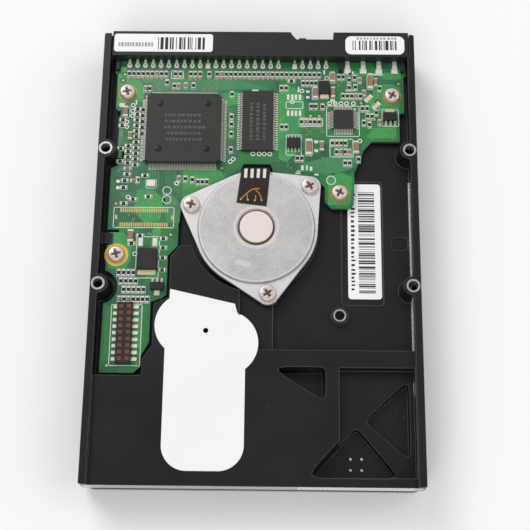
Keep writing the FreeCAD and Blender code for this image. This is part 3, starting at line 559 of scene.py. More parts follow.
class Pile:
    """Faces gathered for one piece, in millimetres."""

    def __init__(self):
        self.points, self.faces = [], []

    def add(self, points, faces):
        start = len(self.points)
        self.points += points
        self.faces += [[start + i for i in face] for face in faces]

    def prism(self, outline, low, high):
        n = len(outline)
        self.add([(x, y, low) for x, y in outline] + [(x, y, high) for x, y in outline],
                 [list(range(n))[::-1], list(range(n, 2 * n))]
                 + [[i, (i + 1) % n, n + (i + 1) % n, n + i] for i in range(n)])

    def block(self, x0, y0, x1, y1, low, high):
        self.prism([(x0, y0), (x1, y0), (x1, y1), (x0, y1)], low, high)

    def ring(self, x, y, inner, outer, low, high, sides=40):
        spots = [(math.cos(2 * math.pi * i / sides), math.sin(2 * math.pi * i / sides))
                 for i in range(sides)]
        points = [(x + r * c, y + r * s, z) for r, z in
                  ((inner, low), (outer, low), (outer, high), (inner, high)) for c, s in spots]
        faces = []
        for k in range(4):
            for i in range(sides):
                j, m = (i + 1) % sides, (k + 1) % 4
                faces.append([k * sides + i, k * sides + j, m * sides + j, m * sides + i])
        self.add(points, faces)

    def ribbon(self, path, width, low, high):
        """A flat strip of even width along a path, its corners mitred."""
        left, right = [], []
        for i, (x, y) in enumerate(path):
            steps = []
            if i > 0:
                steps.append(Vector((x - path[i - 1][0], y - path[i - 1][1])).normalized())
            if i < len(path) - 1:
                steps.append(Vector((path[i + 1][0] - x, path[i + 1][1] - y)).normalized())
            along = sum(steps, Vector((0, 0))).normalized()
            reach = width / 2 / max(0.5, along.dot(steps[0]))
            left.append((x - along.y * reach, y + along.x * reach))
            right.append((x + along.y * reach, y - along.x * reach))
        n = len(path)
        rails = (left, right)
        points = [(*rails[s][i], z) for z in (low, high) for s in (0, 1) for i in range(n)]
        faces = [[0, n, 3 * n, 2 * n], [n - 1, 3 * n - 1, 4 * n - 1, 2 * n - 1]]
        for i in range(n - 1):
            faces += [[i, i + 1, n + i + 1, n + i], [2 * n + i, 3 * n + i, 3 * n + i + 1,
                                                     2 * n + i + 1],
                      [i, 2 * n + i, 2 * n + i + 1, i + 1],
                      [n + i, n + i + 1, 3 * n + i + 1, 3 * n + i]]
        self.add(points, faces)

    def frame(self, x0, y0, x1, y1, width, low, high):
        w = width / 2
        for a, b in (((x0, y0), (x1, y0)), ((x1, y0), (x1, y1)), ((x1, y1), (x0, y1)),
                     ((x0, y1), (x0, y0))):
            self.block(min(a[0], b[0]) - w, min(a[1], b[1]) - w, max(a[0], b[0]) + w,
                       max(a[1], b[1]) + w, low, high)

    def made(self, name, material, smooth=False):
        mesh = bpy.data.meshes.new(name)
        mesh.from_pydata([tuple(c * MM for c in p) for p in self.points], [], self.faces)
        shell = bmesh.new()
        shell.from_mesh(mesh)
        bmesh.ops.recalc_face_normals(shell, faces=shell.faces)
        shell.to_mesh(mesh)
        shell.free()
        mesh.polygons.foreach_set("use_smooth", [smooth] * len(mesh.polygons))
        mesh.materials.append(material)
        piece = bpy.data.objects.new(name, mesh)
        bpy.context.scene.collection.objects.link(piece)
        return piece


def keep(piece, slot, *replaced, body=CHASSIS):
    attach(piece, body)
    if replaced:
        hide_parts(*replaced)
    return piece


# ---------------------------------------------------------------- repeated parts

def repeat_tree(name):
    """Sets a shape on every point, turned and stretched by the point's own values."""
    tree = bpy.data.node_groups.new(name, "GeometryNodeTree")
    face = tree.interface
    for label, kind in (("Geometry", "NodeSocketGeometry"), ("Shape", "NodeSocketObject"),
                        ("Width", "NodeSocketFloat"), ("Length", "NodeSocketFloat"),
                        ("Height", "NodeSocketFloat"), ("Finish", "NodeSocketMaterial")):
        face.new_socket(name=label, in_out="INPUT", socket_type=kind)
    face.new_socket(name="Geometry", in_out="OUTPUT", socket_type="NodeSocketGeometry")
    nodes, links = tree.nodes, tree.links
    source, result = nodes.new("NodeGroupInput"), nodes.new("NodeGroupOutput")
    shape = nodes.new("GeometryNodeObjectInfo")
    links.new(source.outputs["Shape"], shape.inputs["Object"])
    turn = nodes.new("GeometryNodeInputNamedAttribute")
    turn.data_type = "FLOAT_VECTOR"
    turn.inputs["Name"].default_value = "turn"
    stretch = nodes.new("GeometryNodeInputNamedAttribute")
    stretch.data_type = "FLOAT_VECTOR"
    stretch.inputs["Name"].default_value = "stretch"
    size = nodes.new("ShaderNodeCombineXYZ")
    for i, label in enumerate(("Width", "Length", "Height")):
        links.new(source.outputs[label], size.inputs[i])
    scale = nodes.new("ShaderNodeVectorMath")
    scale.operation = "MULTIPLY"
    links.new(size.outputs[0], scale.inputs[0])
    links.new(stretch.outputs[0], scale.inputs[1])
    spread = nodes.new("GeometryNodeInstanceOnPoints")
    links.new(source.outputs["Geometry"], spread.inputs["Points"])
    links.new(shape.outputs["Geometry"], spread.inputs["Instance"])
    links.new(turn.outputs[0], spread.inputs["Rotation"])
    links.new(scale.outputs[0], spread.inputs["Scale"])
    real = nodes.new("GeometryNodeRealizeInstances")
    paint = nodes.new("GeometryNodeSetMaterial")
    links.new(spread.outputs[0], real.inputs[0])
    links.new(real.outputs[0], paint.inputs["Geometry"])
    links.new(source.outputs["Finish"], paint.inputs["Material"])
    links.new(paint.outputs[0], result.inputs[0])
    return tree


def repeat(name, shape, spots, material, width=1.0, length=1.0, height=1.0, smooth=False):
    """Spots are (x, y, z, turn in degrees, stretch across, stretch along), in millimetres."""
    tree = bpy.data.node_groups.get("set on points") or repeat_tree("set on points")
    mesh = bpy.data.meshes.new(name + "_points")
    mesh.from_pydata([tuple(c * MM for c in s[:3]) for s in spots], [], [])
    turn = mesh.attributes.new("turn", "FLOAT_VECTOR", "POINT")
    stretch = mesh.attributes.new("stretch", "FLOAT_VECTOR", "POINT")
    for i, spot in enumerate(spots):
        angle, wide, long = (*spot[3:], *(0.0, 1.0, 1.0)[len(spot) - 3:])
        turn.data[i].vector = (0, 0, math.radians(angle))
        stretch.data[i].vector = (wide, long, 1.0)
    holder = bpy.data.objects.new(name + "_points", mesh)
    bpy.context.scene.collection.objects.link(holder)
    modifier = holder.modifiers.new("set on points", "NODES")
    modifier.node_group = tree
    sockets = {s.name: s.identifier for s in tree.interface.items_tree
               if s.in_out == "INPUT"}
    for label, value in (("Shape", shape), ("Width", float(width)), ("Length", float(length)),
                         ("Height", float(height)), ("Finish", material)):
        modifier[sockets[label]] = value
    graph = bpy.context.evaluated_depsgraph_get()
    made = bpy.data.meshes.new_from_object(holder.evaluated_get(graph))
    holder.modifiers.remove(modifier)
    bpy.data.objects.remove(holder)
    bpy.data.objects.remove(shape)
    for attribute in [a for a in made.attributes if a.name in ("turn", "stretch")]:
        made.attributes.remove(attribute)
    made.polygons.foreach_set("use_smooth", [smooth] * len(made.polygons))
    made.name = name
    piece = bpy.data.objects.new(name, made)
    bpy.context.scene.collection.objects.link(piece)
    return piece


def soft_block(x0, y0, x1, y1, low, high, edge):
    """A block with its upper edges taken off."""
    pile = Pile()
    pile.add([(x0, y0, low), (x1, y0, low), (x1, y1, low), (x0, y1, low),
              (x0, y0, high - edge), (x1, y0, high - edge), (x1, y1, high - edge),
              (x0, y1, high - edge), (x0 + edge, y0 + edge, high), (x1 - edge, y0 + edge, high),
              (x1 - edge, y1 - edge, high), (x0 + edge, y1 - edge, high)],
             [[3, 2, 1, 0], [0, 1, 5, 4], [1, 2, 6, 5], [2, 3, 7, 6], [3, 0, 4, 7],
              [4, 5, 9, 8], [5, 6, 10, 9], [6, 7, 11, 10], [7, 4, 8, 11], [8, 9, 10, 11]])
    return pile


def shape_of(pile):
    """A shape for repeat(), which gives it the finish that the piece asks for."""
    return pile.made("shape", use("solder"))


def block_shape():
    return shape_of(soft_block(-0.5, -0.5, 0.5, 0.5, 0.0, 1.0, 0.12))


def ends_shape():
    """The two tinned ends of a chip part one unit long."""
    pile = Pile()
    for s in (-1, 1):
        end = soft_block(-0.52, -0.11, 0.52, 0.11, 0.0, 1.04, 0.08)
        pile.add([(x, y + s * 0.4, z) for x, y, z in end.points], end.faces)
    return shape_of(pile)


def dome_shape(sides=12):
    """A low dome one unit across."""
    pile = Pile()
    rings = [(0.5, 0.0), (0.46, 0.55), (0.3, 0.9)]
    points = [(r * math.cos(2 * math.pi * i / sides), r * math.sin(2 * math.pi * i / sides), z)
              for r, z in rings for i in range(sides)] + [(0, 0, 1.0)]
    faces = [[k * sides + i, k * sides + (i + 1) % sides, (k + 1) * sides + (i + 1) % sides,
              (k + 1) * sides + i] for k in range(2) for i in range(sides)]
    faces += [[2 * sides + i, 2 * sides + (i + 1) % sides, 3 * sides] for i in range(sides)]
    faces.append(list(range(sides))[::-1])
    pile.add(points, faces)
    return shape_of(pile)


def ring_shape(inner, sides):
    """A flat ring one unit across."""
    pile = Pile()
    pile.ring(0, 0, inner, 0.5, 0.0, 1.0, sides)
    return shape_of(pile)


def frame_shape(wide, long, line):
    pile = Pile()
    pile.frame(-wide / 2, -long / 2, wide / 2, long / 2, line, 0.0, 1.0)
    return shape_of(pile)


def lead_shape(reach, rise, wide):
    """A gull-wing lead running out along +Y from the side of a package."""
    thick = 0.14
    line = [(-0.25, rise), (reach * 0.3, rise), (reach * 0.52, thick), (reach, thick)]
    lower = [(y, z - thick) for y, z in line]
    pile = Pile()
    outline = line + lower[::-1]
    n = len(outline)
    pile.add([(x, y, z) for x in (-wide / 2, wide / 2) for y, z in outline],
             [list(range(n)), list(range(n, 2 * n))[::-1]]
             + [[i, n + i, n + (i + 1) % n, (i + 1) % n] for i in range(n)])
    return shape_of(pile)


def tail_shape():
    """A soldered pin tail: a tapering stem that ends in a ring of solder round its hole."""
    pile = Pile()
    pile.ring(0, 0, 0.24, 0.82, 0.0, 0.5, 16)
    pile.ring(0, 0, 0.3, 0.66, 0.48, 0.8, 16)
    outline = [(-0.62, 0.45), (0.62, 0.45), (0.4, 1.1), (0.34, 3.0), (-0.34, 3.0), (-0.4, 1.1)]
    pile.prism(outline, 0.0, 0.78)
    return shape_of(pile)


def power_tail_shape():
    """A wide soldered foot with a ring, and the narrower blade behind it."""
    pile = soft_block(-1.15, -1.5, 1.15, 0.2, 0.0, 0.55, 0.25)
    neck = soft_block(-0.75, 0.1, 0.75, 3.2, 0.0, 0.62, 0.2)
    pile.add(neck.points, neck.faces)
    pile.ring(0, 0.5, 0.4, 0.8, 0.5, 0.85, 16)
    return shape_of(pile)


def screw_shape(radius, height, low):
    """A pan head with a rounded rim and a cross recess, over a short shank."""
    rings, sides, shank = 22, 56, 0.42
    pile = Pile()
    arm, reach = 0.15 * radius, 0.62 * radius
    points = [(0, 0, 0.0)]
    for k in range(1, rings + 1):
        r = radius * (k / rings) ** 0.85
        for i in range(sides):
            a = 2 * math.pi * i / sides
            points.append((r * math.cos(a), r * math.sin(a), 0.0))
    shaped = []
    for x, y, _ in points:
        r = math.hypot(x, y) / radius
        crown = height * (1 - 0.16 * r * r - 0.5 * max(0.0, (r - 0.82) / 0.18) ** 3)
        cross = max(min(arm - abs(x), reach - abs(y)), min(arm - abs(y), reach - abs(x)))
        sink = min(1.0, max(0.0, cross / (0.06 * radius) + 0.5)) * (1 - 0.55 * r)
        shaped.append((x, y, crown - 0.55 * height * sink))
    base = len(shaped)
    rim = points[-sides:]
    shaped += rim + [(x * shank, y * shank, z) for z in (0.0, low) for x, y, _ in rim]
    faces = [[0, 1 + i, 1 + (i + 1) % sides] for i in range(sides)]
    for k in range(rings - 1):
        for i in range(sides):
            a, b = 1 + k * sides, 1 + (k + 1) * sides
            faces.append([a + i, b + i, b + (i + 1) % sides, a + (i + 1) % sides])
    last = 1 + (rings - 1) * sides
    for start, end in ((last, base), (base, base + sides), (base + sides, base + 2 * sides)):
        faces += [[start + i, end + i, end + (i + 1) % sides, start + (i + 1) % sides]
                  for i in range(sides)]
    faces.append([base + 2 * sides + i for i in range(sides)])
    pile.add(shaped, faces)
    return pile


# ---------------------------------------------------------------- where things stand

TAIL_PITCH, POWER_PITCH = 2.54, 5.08
TAIL_LINE = 62.4
IDE_TAILS = [-41.9 + TAIL_PITCH * i for i in range(20)]
KEYED_TAIL = 10
JUMPER_TAILS = [11.6 + TAIL_PITCH * i for i in range(5)]
POWER_TAILS = [28.7 + POWER_PITCH * i for i in range(4)]
HEAD_ROWS = [-19.1 - 2.03 * i for i in range(9)]
SCREWS = [(-42.1, 52.7), (42.9, 52.0), (-43.0, -2.4), (25.8, 18.4)]
EAR_REACH = 21.5
EARS = [(EAR_REACH * math.cos(math.radians(a)),
         DISC_CENTRE[1] + EAR_REACH * math.sin(math.radians(a))) for a in (40, 160, 280)]

# Small parts on the board: those that stand across it, along it, in groups and on the slant.
ROW_PITCH = 1.5
UPRIGHT = ([(-42 + ROW_PITCH * i, 59.5) for i in range(9)]
           + [(x, 59.5) for x in (-27, -25.4, -22, -20.6, -19, -16)]
           + [(-13.5 + ROW_PITCH * i, 59.5) for i in range(23)]
           + [(14.4 + 1.35 * i, 56.5) for i in range(4)]
           + [(27.2 + 1.4 * i, 52.0) for i in range(5)]
           + [(13.9 + 1.4 * i, 42.8) for i in range(5)]
           + [(x, 35.5) for x in (23.7, 25.1, 26.5, 27.8)]
           + [(x, 32.5) for x in (25.0, 26.4, 27.7, 29.1)]
           + [(27.7, 28.7), (29.1, 28.7), (-36.4, 54.2), (-35.1, 54.2), (-29.6, 56.4),
              (-27.2, 55.2), (-25.8, 55.2), (-23.5, 55.4), (-21.0, 55.4), (7.4, 54.7),
              (8.9, 54.7), (-8.5, 52.4), (-8.5, 44.4), (-8.5, 41.8), (-8.5, 38.4), (-8.5, 33.0),
              (33.4, 47.6), (34.9, 47.6), (17.0, 48.3), (18.3, 48.3), (20.6, 48.2),
              (29.2, 57.7), (32.6, 57.7), (31.2, 55.2), (34.0, 53.2), (33.8, 42.6),
              (35.6, 42.0), (25.9, 58.8), (27.3, 58.8), (7.6, 41.0), (9.0, 41.0),
              (-18.6, 21.9), (-17.2, 21.9), (-15.8, 21.9), (38.9, 42.8), (12.6, 30.2),
              (14.0, 30.2), (31.9, 30.0), (-20.4, 22.6), (-24.6, 22.9), (-22.6, 22.9),
              (-37.6, 22.4), (35.0, 44.9), (36.4, 44.9), (37.8, 46.2), (39.0, 54.8),
              (31.0, 58.6), (29.2, 55.0)])
SIDEWAYS = ([(-38.6, 27.6 + 1.95 * i) for i in range(11)]
            + [(-41.0, 24.4 + 1.95 * i) for i in range(6)]
            + [(-36.9, 46.8 - 2.1 * i) for i in range(5)]
            + [(-43.2, 43.2), (-43.3, 41.2), (-43.4, 33.2), (-43.4, 28.8), (-35.3, 24.0)]
            + [(-28.7, y) for y in (3.0, 0.0, -3.3, -7.2)]
            + [(-41.6, 22.3), (-38.7, 22.3), (-41.9, 19.9), (-38.7, 16.0), (-41.6, 14.6),
               (-34.0, 16.9), (-38.5, 1.3), (-36.0, 3.9), (10.6, 57.3), (29.6, 60.3)])
CLUSTER = ([(-41.4 + 1.42 * i, -16.7) for i in range(7)]
           + [(-42.0 + 1.5 * i, -8.2) for i in range(4)]
           + [(-41.2 + 1.5 * i, -10.9) for i in range(4)]
           + [(-40.2 + 1.5 * i, -13.6) for i in range(5)])
TILTED = [(35.3, 51.1), (37.8, 48.5)]
WHITE_BLOCKS = [(-35.7, 1.8, 1.4, 2.6), (-31.3, 1.8, 1.4, 2.6), (23.9, 50.6, 1.4, 1.0),
                (9.6, 51.6, 0.75, 1.9), (10.9, 51.6, 0.75, 1.9), (12.1, 51.6, 0.75, 1.9),
                (13.4, 51.6, 0.75, 1.9), (9.6, 45.9, 0.75, 1.9), (10.9, 45.9, 0.75, 1.9),
                (12.1, 45.9, 0.75, 1.9), (13.4, 45.9, 0.75, 1.9), (15.9, 53.6, 1.1, 0.8),
                (15.9, 51.6, 1.1, 0.8), (-1.0, 53.8, 2.0, 0.8), (-43.7, 22.0, 1.0, 1.0),
                (-43.7, 19.8, 1.0, 1.0), (18.6, 36.0, 1.2, 1.0), (18.6, 33.0, 1.2, 1.0)]
VIA_HOLES = [(-44, 48.4), (22, 58.5), (22.9, 49.5), (26.5, 49.5), (28.3, 49.5), (30.5, 49.5),
             (-40.3, 16.7), (-25.3, 21.5), (32.4, 36.4), (-8.6, 29), (-7.7, 29.9),
             (-1.5, 31.7), (0.5, 31.7), (2.1, 31.7), (3.9, 31.7), (14.0, 53.9),
             (-40.2, 48.4), (-40.2, 46.4), (-40.2, 44.7), (-41.9, 42.5), (-41.9, 40.8),
             (10.9, 50.0), (-37.4, -2.0), (24.7, 49.5)]
GOLD_DOTS = [(-43.8, 57.2), (-35.9, 51.5), (-11.2, 26.8), (-44, 14.5), (-26.5, 4.3),
             (45.2, 56.6), (-44.2, -37.3), (-43.4, 59.4), (33.0, 49.7), (24.6, 49.7),
             (38.3, 50.1), (16.8, 45.1), (19.6, 45.1), (37.2, 44.0)]


def scatter_vias():
    """Small plated vias set where the tracks change side, from a fixed seed."""
    rng = random.Random(11)
    zones = ((-41, 57.9, 20, 57.9, 38), (-34, 52.9, -13, 57.0, 16), (6.8, 36, 9, 55, 14),
             (14, 38, 21, 41, 10), (-34, 14.2, -30, 18.4, 12), (-40, 8.8, -30, 11.0, 8),
             (-26, 14, -10, 26, 18), (6, 27, 24, 31, 14), (36, 37, 44, 41, 12),
             (26, 15, 29, 26, 8), (-33.6, 3.4, -29.6, 6.2, 12), (-28.4, 13.8, -25.4, 15.4, 4),
             (-36, -37, -34.5, -20, 12), (-10, 30, -7.5, 52, 14), (24, 54.5, 34, 60, 20),
             (36, 44, 40, 60, 14), (-44, 24, -42.6, 44, 12))
    return [(rng.uniform(x0, x1), rng.uniform(y0, y1) if y1 > y0 else y0)
            for x0, y0, x1, y1, count in zones for _ in range(count)]


# ---------------------------------------------------------------- operators

class DRIVE_OT_finishes(bpy.types.Operator):
    """Give every carried-over part its finish"""
    bl_idname = "drive.finishes"
    bl_label = "Part finishes"

    def execute(self, context):
        for node, name in NODE_FINISH.items():
            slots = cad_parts[node].data.materials
            slots.clear()
            slots.append(use(name))
        return {"FINISHED"}


class DRIVE_OT_copper(bpy.types.Operator):
    """Lay the copper pours and track bundles that show through the solder mask"""
    bl_idname = "drive.copper"
    bl_label = "Pours and tracks"

    def execute(self, context):
        low, high = BOARD_TOP, BOARD_TOP + INK
        pours = Pile()
        for outline in (
                [(-45.5, 48), (-45.5, 62), (-43, 62), (-42.8, 58), (-37.6, 57), (-36.4, 50),
                 (-37, 49.4), (-39, 50.2)],
                [(-9.6, 48.6), (-7.2, 48.8), (-5.4, 51), (-6.8, 53.4), (-12.6, 52.8)],
                [(6.6, 30), (9.2, 29), (12.6, 32.4), (12.4, 38.6), (15, 40), (14.6, 52),
                 (12, 54.6), (8, 56.6), (6.4, 52)],
                [(34.6, 45), (38, 47), (44.8, 46), (45.6, 50), (45.6, 55.4), (42.8, 56.6),
                 (37, 56.2), (36.6, 52.2), (34.4, 50)],
                [(27, 60.6), (46, 60.6), (46, 58.4), (41, 58.2), (38.6, 59.4), (28, 59.6)],
                [(22.2, 14.6), (28.4, 14.6), (29.4, 16), (29.8, 24), (27, 25.4), (22, 25)],
                [(-45.4, -6.8), (-40, -7), (-38.6, -4), (-38.4, 2), (-41.4, 5), (-45.6, 5)],
                [(-38.4, 12), (-34.8, 8), (-30.2, 9), (-28.6, 16), (-33, 19.4), (-37.6, 19)],
                [(-23.4, 15.6), (-10, 23.6), (-11.6, 26.2), (-23.4, 25.8)],
                [(-36.9, -20), (-34.4, -19), (-34.2, -30), (-36.4, -34.6), (-36.9, -32)],
                [(34.4, 37.4), (44, 37.4), (44, 41.4), (36.6, 41)],
                [(-33.6, -9.8), (-29.6, -9.4), (-29.4, -2), (-29.8, 8), (-31.8, 8)]):
            pours.prism(outline, low, high)
        keep(pours.made("board_copper_pours", use("pour")), "board_green")
        mids = Pile()
        for outline in (
                [(-38, 56.4), (-34.4, 56.6), (-33, 53.2), (-14, 53.2), (-10, 54.2), (4, 54.4),
                 (2, 55.4), (-6, 57.6), (-37, 58.4)],
                [(-44.6, 30), (-43.4, 30), (-43.2, 45), (-44.2, 45)],
                [(-24, 8.2), (-23.6, 14), (-27, 18.6), (-30, 18), (-28, 8.4)],
                [(13, 26), (24, 24.8), (29.8, 27), (32, 32), (22.8, 31), (13.4, 28.4)]):
            mids.prism(outline, low, high)
        keep(mids.made("board_inner_planes", use("mid")), "board_green")
        tracks = Pile()
        width = settings("drive_board").track_width / MM
        bundles = (
            ([(-9, 57.6), (-7.6, 56.2), (-7.6, 54.4)], 18, (0.75, 0)),
            ([(-38, 58), (-34.5, 54.5), (-34.5, 53)], 12, (0.62, 0)),
            ([(-40, 14.6), (-36, 14.6), (-31, 19.6), (-31, 25.4)], 8, (-0.5, 0.5)),
            ([(-27.4, 14.4), (-25.8, 16.4), (-20.6, 20.6), (-20.6, 25.2)], 6, (0.5, -0.4)),
            ([(7.4, 32), (7.4, 36), (8.8, 38), (8.8, 50)], 7, (0.55, 0)),
            ([(15, 38), (19.6, 38), (22, 40.4), (22, 46)], 6, (-0.5, 0.5)),
            ([(36, 60), (39, 57.4), (44, 57.4)], 4, (0.2, 0.8)),
            ([(-45.2, -19), (-45.2, -34), (-43.6, -36)], 2, (0.5, 0)),
            ([(-36.2, -19.4), (-36.2, -31), (-37.8, -33.4)], 4, (0.5, -0.2)),
            ([(-43.6, 26), (-43.6, 44)], 2, (0.5, 0)),
            ([(13.8, 33), (13.8, 38.6), (12.4, 40.6)], 5, (0.5, 0.2)),
            ([(30.6, 27), (33.6, 33.4), (36.6, 36.8)], 3, (-0.6, 0.2)),
            ([(-9.6, 30), (-9.6, 50)], 3, (0.6, 0)),
            ([(-28.6, 26), (-28.6, 22), (-24.4, 17.6)], 5, (0.7, 0.2)))
        for path, count, (dx, dy) in bundles:
            for i in range(count):
                tracks.ribbon([(x + dx * i, y + dy * i) for x, y in path], width, low,
                              high + INK)
        keep(tracks.made("board_tracks", use("mid")), "board_green")
        return {"FINISHED"}


class DRIVE_OT_silkscreen(bpy.types.Operator):
    """Print the white outlines round the board's parts"""
    bl_idname = "drive.silkscreen"
    bl_label = "Board outlines"

    def execute(self, context):
        low, high = BOARD_TOP + 0.01, BOARD_TOP + 0.05
        ink = use("silk")
        pile = Pile()
        for x0, y0, x1, y1 in ((21.9, 38.0, 32.3, 48.6), (-43.6, -37.3, -34.3, -18.3),
                               (-44.5, 6.6, -25.8, 13.3), (8.9, 47.6, 14.3, 50.0),
                               (22.9, 56.6, 24.7, 60.4), (17.3, 50.8, 19.3, 55.0),
                               (35.0, 54.5, 36.9, 59.8), (15.2, 31.2, 17.4, 36.8),
                               (-36.9, -9.8, -29.9, 3.6), (39.6, 41.6, 44.9, 47.4),
                               (13.2, 41.4, 20.6, 44.3), (22.9, 30.9, 30.2, 37.0),
                               (-43.0, 44.0, -41.2, 47.8), (9.0, 31.4, 13.8, 38.4),
                               (-34.9, 19.8, -31.7, 22.6), (-28.3, 58.0, -24.4, 60.8)):
            pile.frame(x0, y0, x1, y1, 0.22, low, high)
        for x, y, r in ((-28.2, 19, 1.3), (-28.2, 16, 1.3), (23.2, 22.9, 1.4), (30.9, 47.5, 0.3),
                        (-3.5, 47.6, 0.12)):
            pile.ring(x, y, r - 0.12, r + 0.12, low, high, 24)
        for x, y, w, d in ((14.2, 27.0, 0.7, 1.6), (15.6, 27.1, 0.5, 1.7), (12.8, 25.2, 1.6, 0.5),
                           (16.9, 26.8, 0.8, 1.4), (18.6, 24.8, 1.2, 0.6), (13.0, 25.9, 1.2, 0.3),
                           (38.6, 59.9, 3.0, 0.5), (21.2, 60.6, 0.5, 1.6),
                           (12.9, 54.4, 0.5, 1.8), (-39.2, 49.4, 0.5, 1.6), (-38.1, 45.9, 0.6, 2.8),
                           (-43.6, 48.4, 1.4, 1.4), (29.6, 54.2, 3.2, 0.4)):
            pile.block(x - w / 2, y - d / 2, x + w / 2, y + d / 2, low, high)
        keep(pile.made("board_silkscreen", ink), "white_label")
        spots = ([(x, y, low, 0) for x, y in UPRIGHT + CLUSTER]
                 + [(x, y, low, 90) for x, y in SIDEWAYS]
                 + [(x, y, low, 45) for x, y in TILTED])
        boxes = repeat("part_outlines", frame_shape(1.26, 2.44, 0.13), spots, ink,
                       height=high - low)
        keep(boxes, "white_label")
        return {"FINISHED"}


class DRIVE_OT_chip_parts(bpy.types.Operator):
    """Solder on the small resistors, capacitors and bare pads"""
    bl_idname = "drive.chip_parts"
    bl_label = "Small parts"

    def execute(self, context):
        rng = random.Random(5)
        spots = ([(x, y, BOARD_TOP, 0) for x, y in UPRIGHT + CLUSTER]
                 + [(x, y, BOARD_TOP, 90) for x, y in SIDEWAYS])
        dark, pale = [], []
        for spot in spots:
            (pale if rng.random() < 0.1 else dark).append(spot)
        keep(repeat("chip_resistors", block_shape(), dark, use("dark chip"), 0.86, 1.24, 0.42),
             "chip_black")
        keep(repeat("chip_ceramics", block_shape(), pale, use("tan part"), 0.86, 1.24, 0.6),
             "capacitor_tan")
        keep(repeat("chip_part_ends", ends_shape(), spots, use("solder"), 0.84, 1.9, 0.44),
             "pin_tin")
        tilted = [(x, y, BOARD_TOP, -45) for x, y in TILTED]
        keep(repeat("tilted_bodies", block_shape(), tilted, use("pale part"), 1.3, 2.0, 0.8),
             "capacitor_tan")
        keep(repeat("tilted_ends", ends_shape(), tilted, use("solder"), 1.3, 3.0, 0.8),
             "pin_tin")
        caps = [(36, 57.2, 1.5, 5.2), (23.8, 58.6, 1.55, 3.4), (18.3, 53, 1.55, 3.9),
                (24, 53.2, 1.25, 3.5), (16.2, 34, 1.9, 5.2), (31.2, 34, 1.7, 4.0),
                (-38.9, 3.7, 1.7, 3.8), (-42.5, 45.9, 1.6, 3.5), (-40.6, 37.5, 1.3, 2.4),
                (37.7, 56.8, 1.1, 2.6), (20.3, 34.4, 1.4, 3.1)]
        keep(repeat("capacitor_ends", ends_shape(),
                    [(x, y, BOARD_TOP, 0, w, d) for x, y, w, d in caps], use("solder"),
                    height=1.16), "pin_tin")
        keep(repeat("bare_pads", block_shape(),
                    [(x, y, BOARD_TOP, 0, w, d) for x, y, w, d in WHITE_BLOCKS], use("solder"),
                    height=0.12), "pin_tin")
        pads = [(x, y, BOARD_TOP, 0, 0.42, 1.3) for y in (12.3, 7.6)
                for x in [-42.3 + 0.69 * i for i in range(22)]]
        pads += [(-43.7, 10, BOARD_TOP, 0, 0.7, 1.4), (-26.2, 10, BOARD_TOP, 0, 0.7, 1.4)]
        keep(repeat("empty_connector_pads", block_shape(), pads, use("gold"), height=0.06),
             "contact_gold")
        return {"FINISHED"}


class DRIVE_OT_gold(bpy.types.Operator):
    """Plate the screw pads, test points and vias"""
    bl_idname = "drive.gold"
    bl_label = "Plated pads"

    def execute(self, context):
        low = BOARD_TOP
        pads = Pile()
        for x, y in SCREWS:
            pads.ring(x, y, 1.5, 3.1, low, low + 0.05, 48)
        keep(pads.made("screw_pads", use("ring gold")), "contact_gold")
        vias = [(x, y, low) for x, y in scatter_vias()]
        keep(repeat("vias", ring_shape(0.2, 10), vias, use("ring gold"), 0.5, 0.5, 0.03),
             "contact_gold")
        dots = [(x, y, low) for x, y in GOLD_DOTS]
        keep(repeat("test_points", dome_shape(), dots, use("gold"), 0.95, 0.95, 0.07, True),
             "contact_gold")
        keep(repeat("test_point_grounds", ring_shape(0.26, 20), dots, use("hollow green"),
                    2.0, 2.0, 0.03), "board_green")
        holes = [(x, y, low) for x, y in VIA_HOLES]
        keep(repeat("hole_rims", ring_shape(0.27, 18), holes, use("silk"), 1.5, 1.5, 0.06),
             "white_label")
        # Dark domes in the via holes are painted shade, standing in for the dark down each hole.
        keep(repeat("hole_floors", dome_shape(), holes, use("hole"), 0.84, 0.84, 0.04),
             "film_black")
        keep(repeat("row_vias", dome_shape(10),
                    [(x, 57.95, low) for x, y in UPRIGHT[:38] if y == 59.5], use("ring gold"),
                    0.62, 0.62, 0.05, True), "contact_gold")
        return {"FINISHED"}


def side_rows(cx, cy, half, pitch, count, sides=4):
    """Lead places round a package: the side's mid point, the row across it, and the turn."""
    spots = []
    for s in range(sides):
        angle = s * 360.0 / sides
        out_x, out_y = math.cos(math.radians(angle)), math.sin(math.radians(angle))
        for i in range(count):
            k = (i - (count - 1) / 2) * pitch
            spots.append((cx + out_x * half - out_y * k, cy + out_y * half + out_x * k,
                          BOARD_TOP, angle - 90))
    return spots


def uneven(rng, start, end, lengths, gaps):
    """Starts and lengths of marks that fill a row, both drawn from the given ranges."""
    while start < end:
        length = rng.uniform(*lengths)
        yield start, length
        start += length + rng.uniform(*gaps)


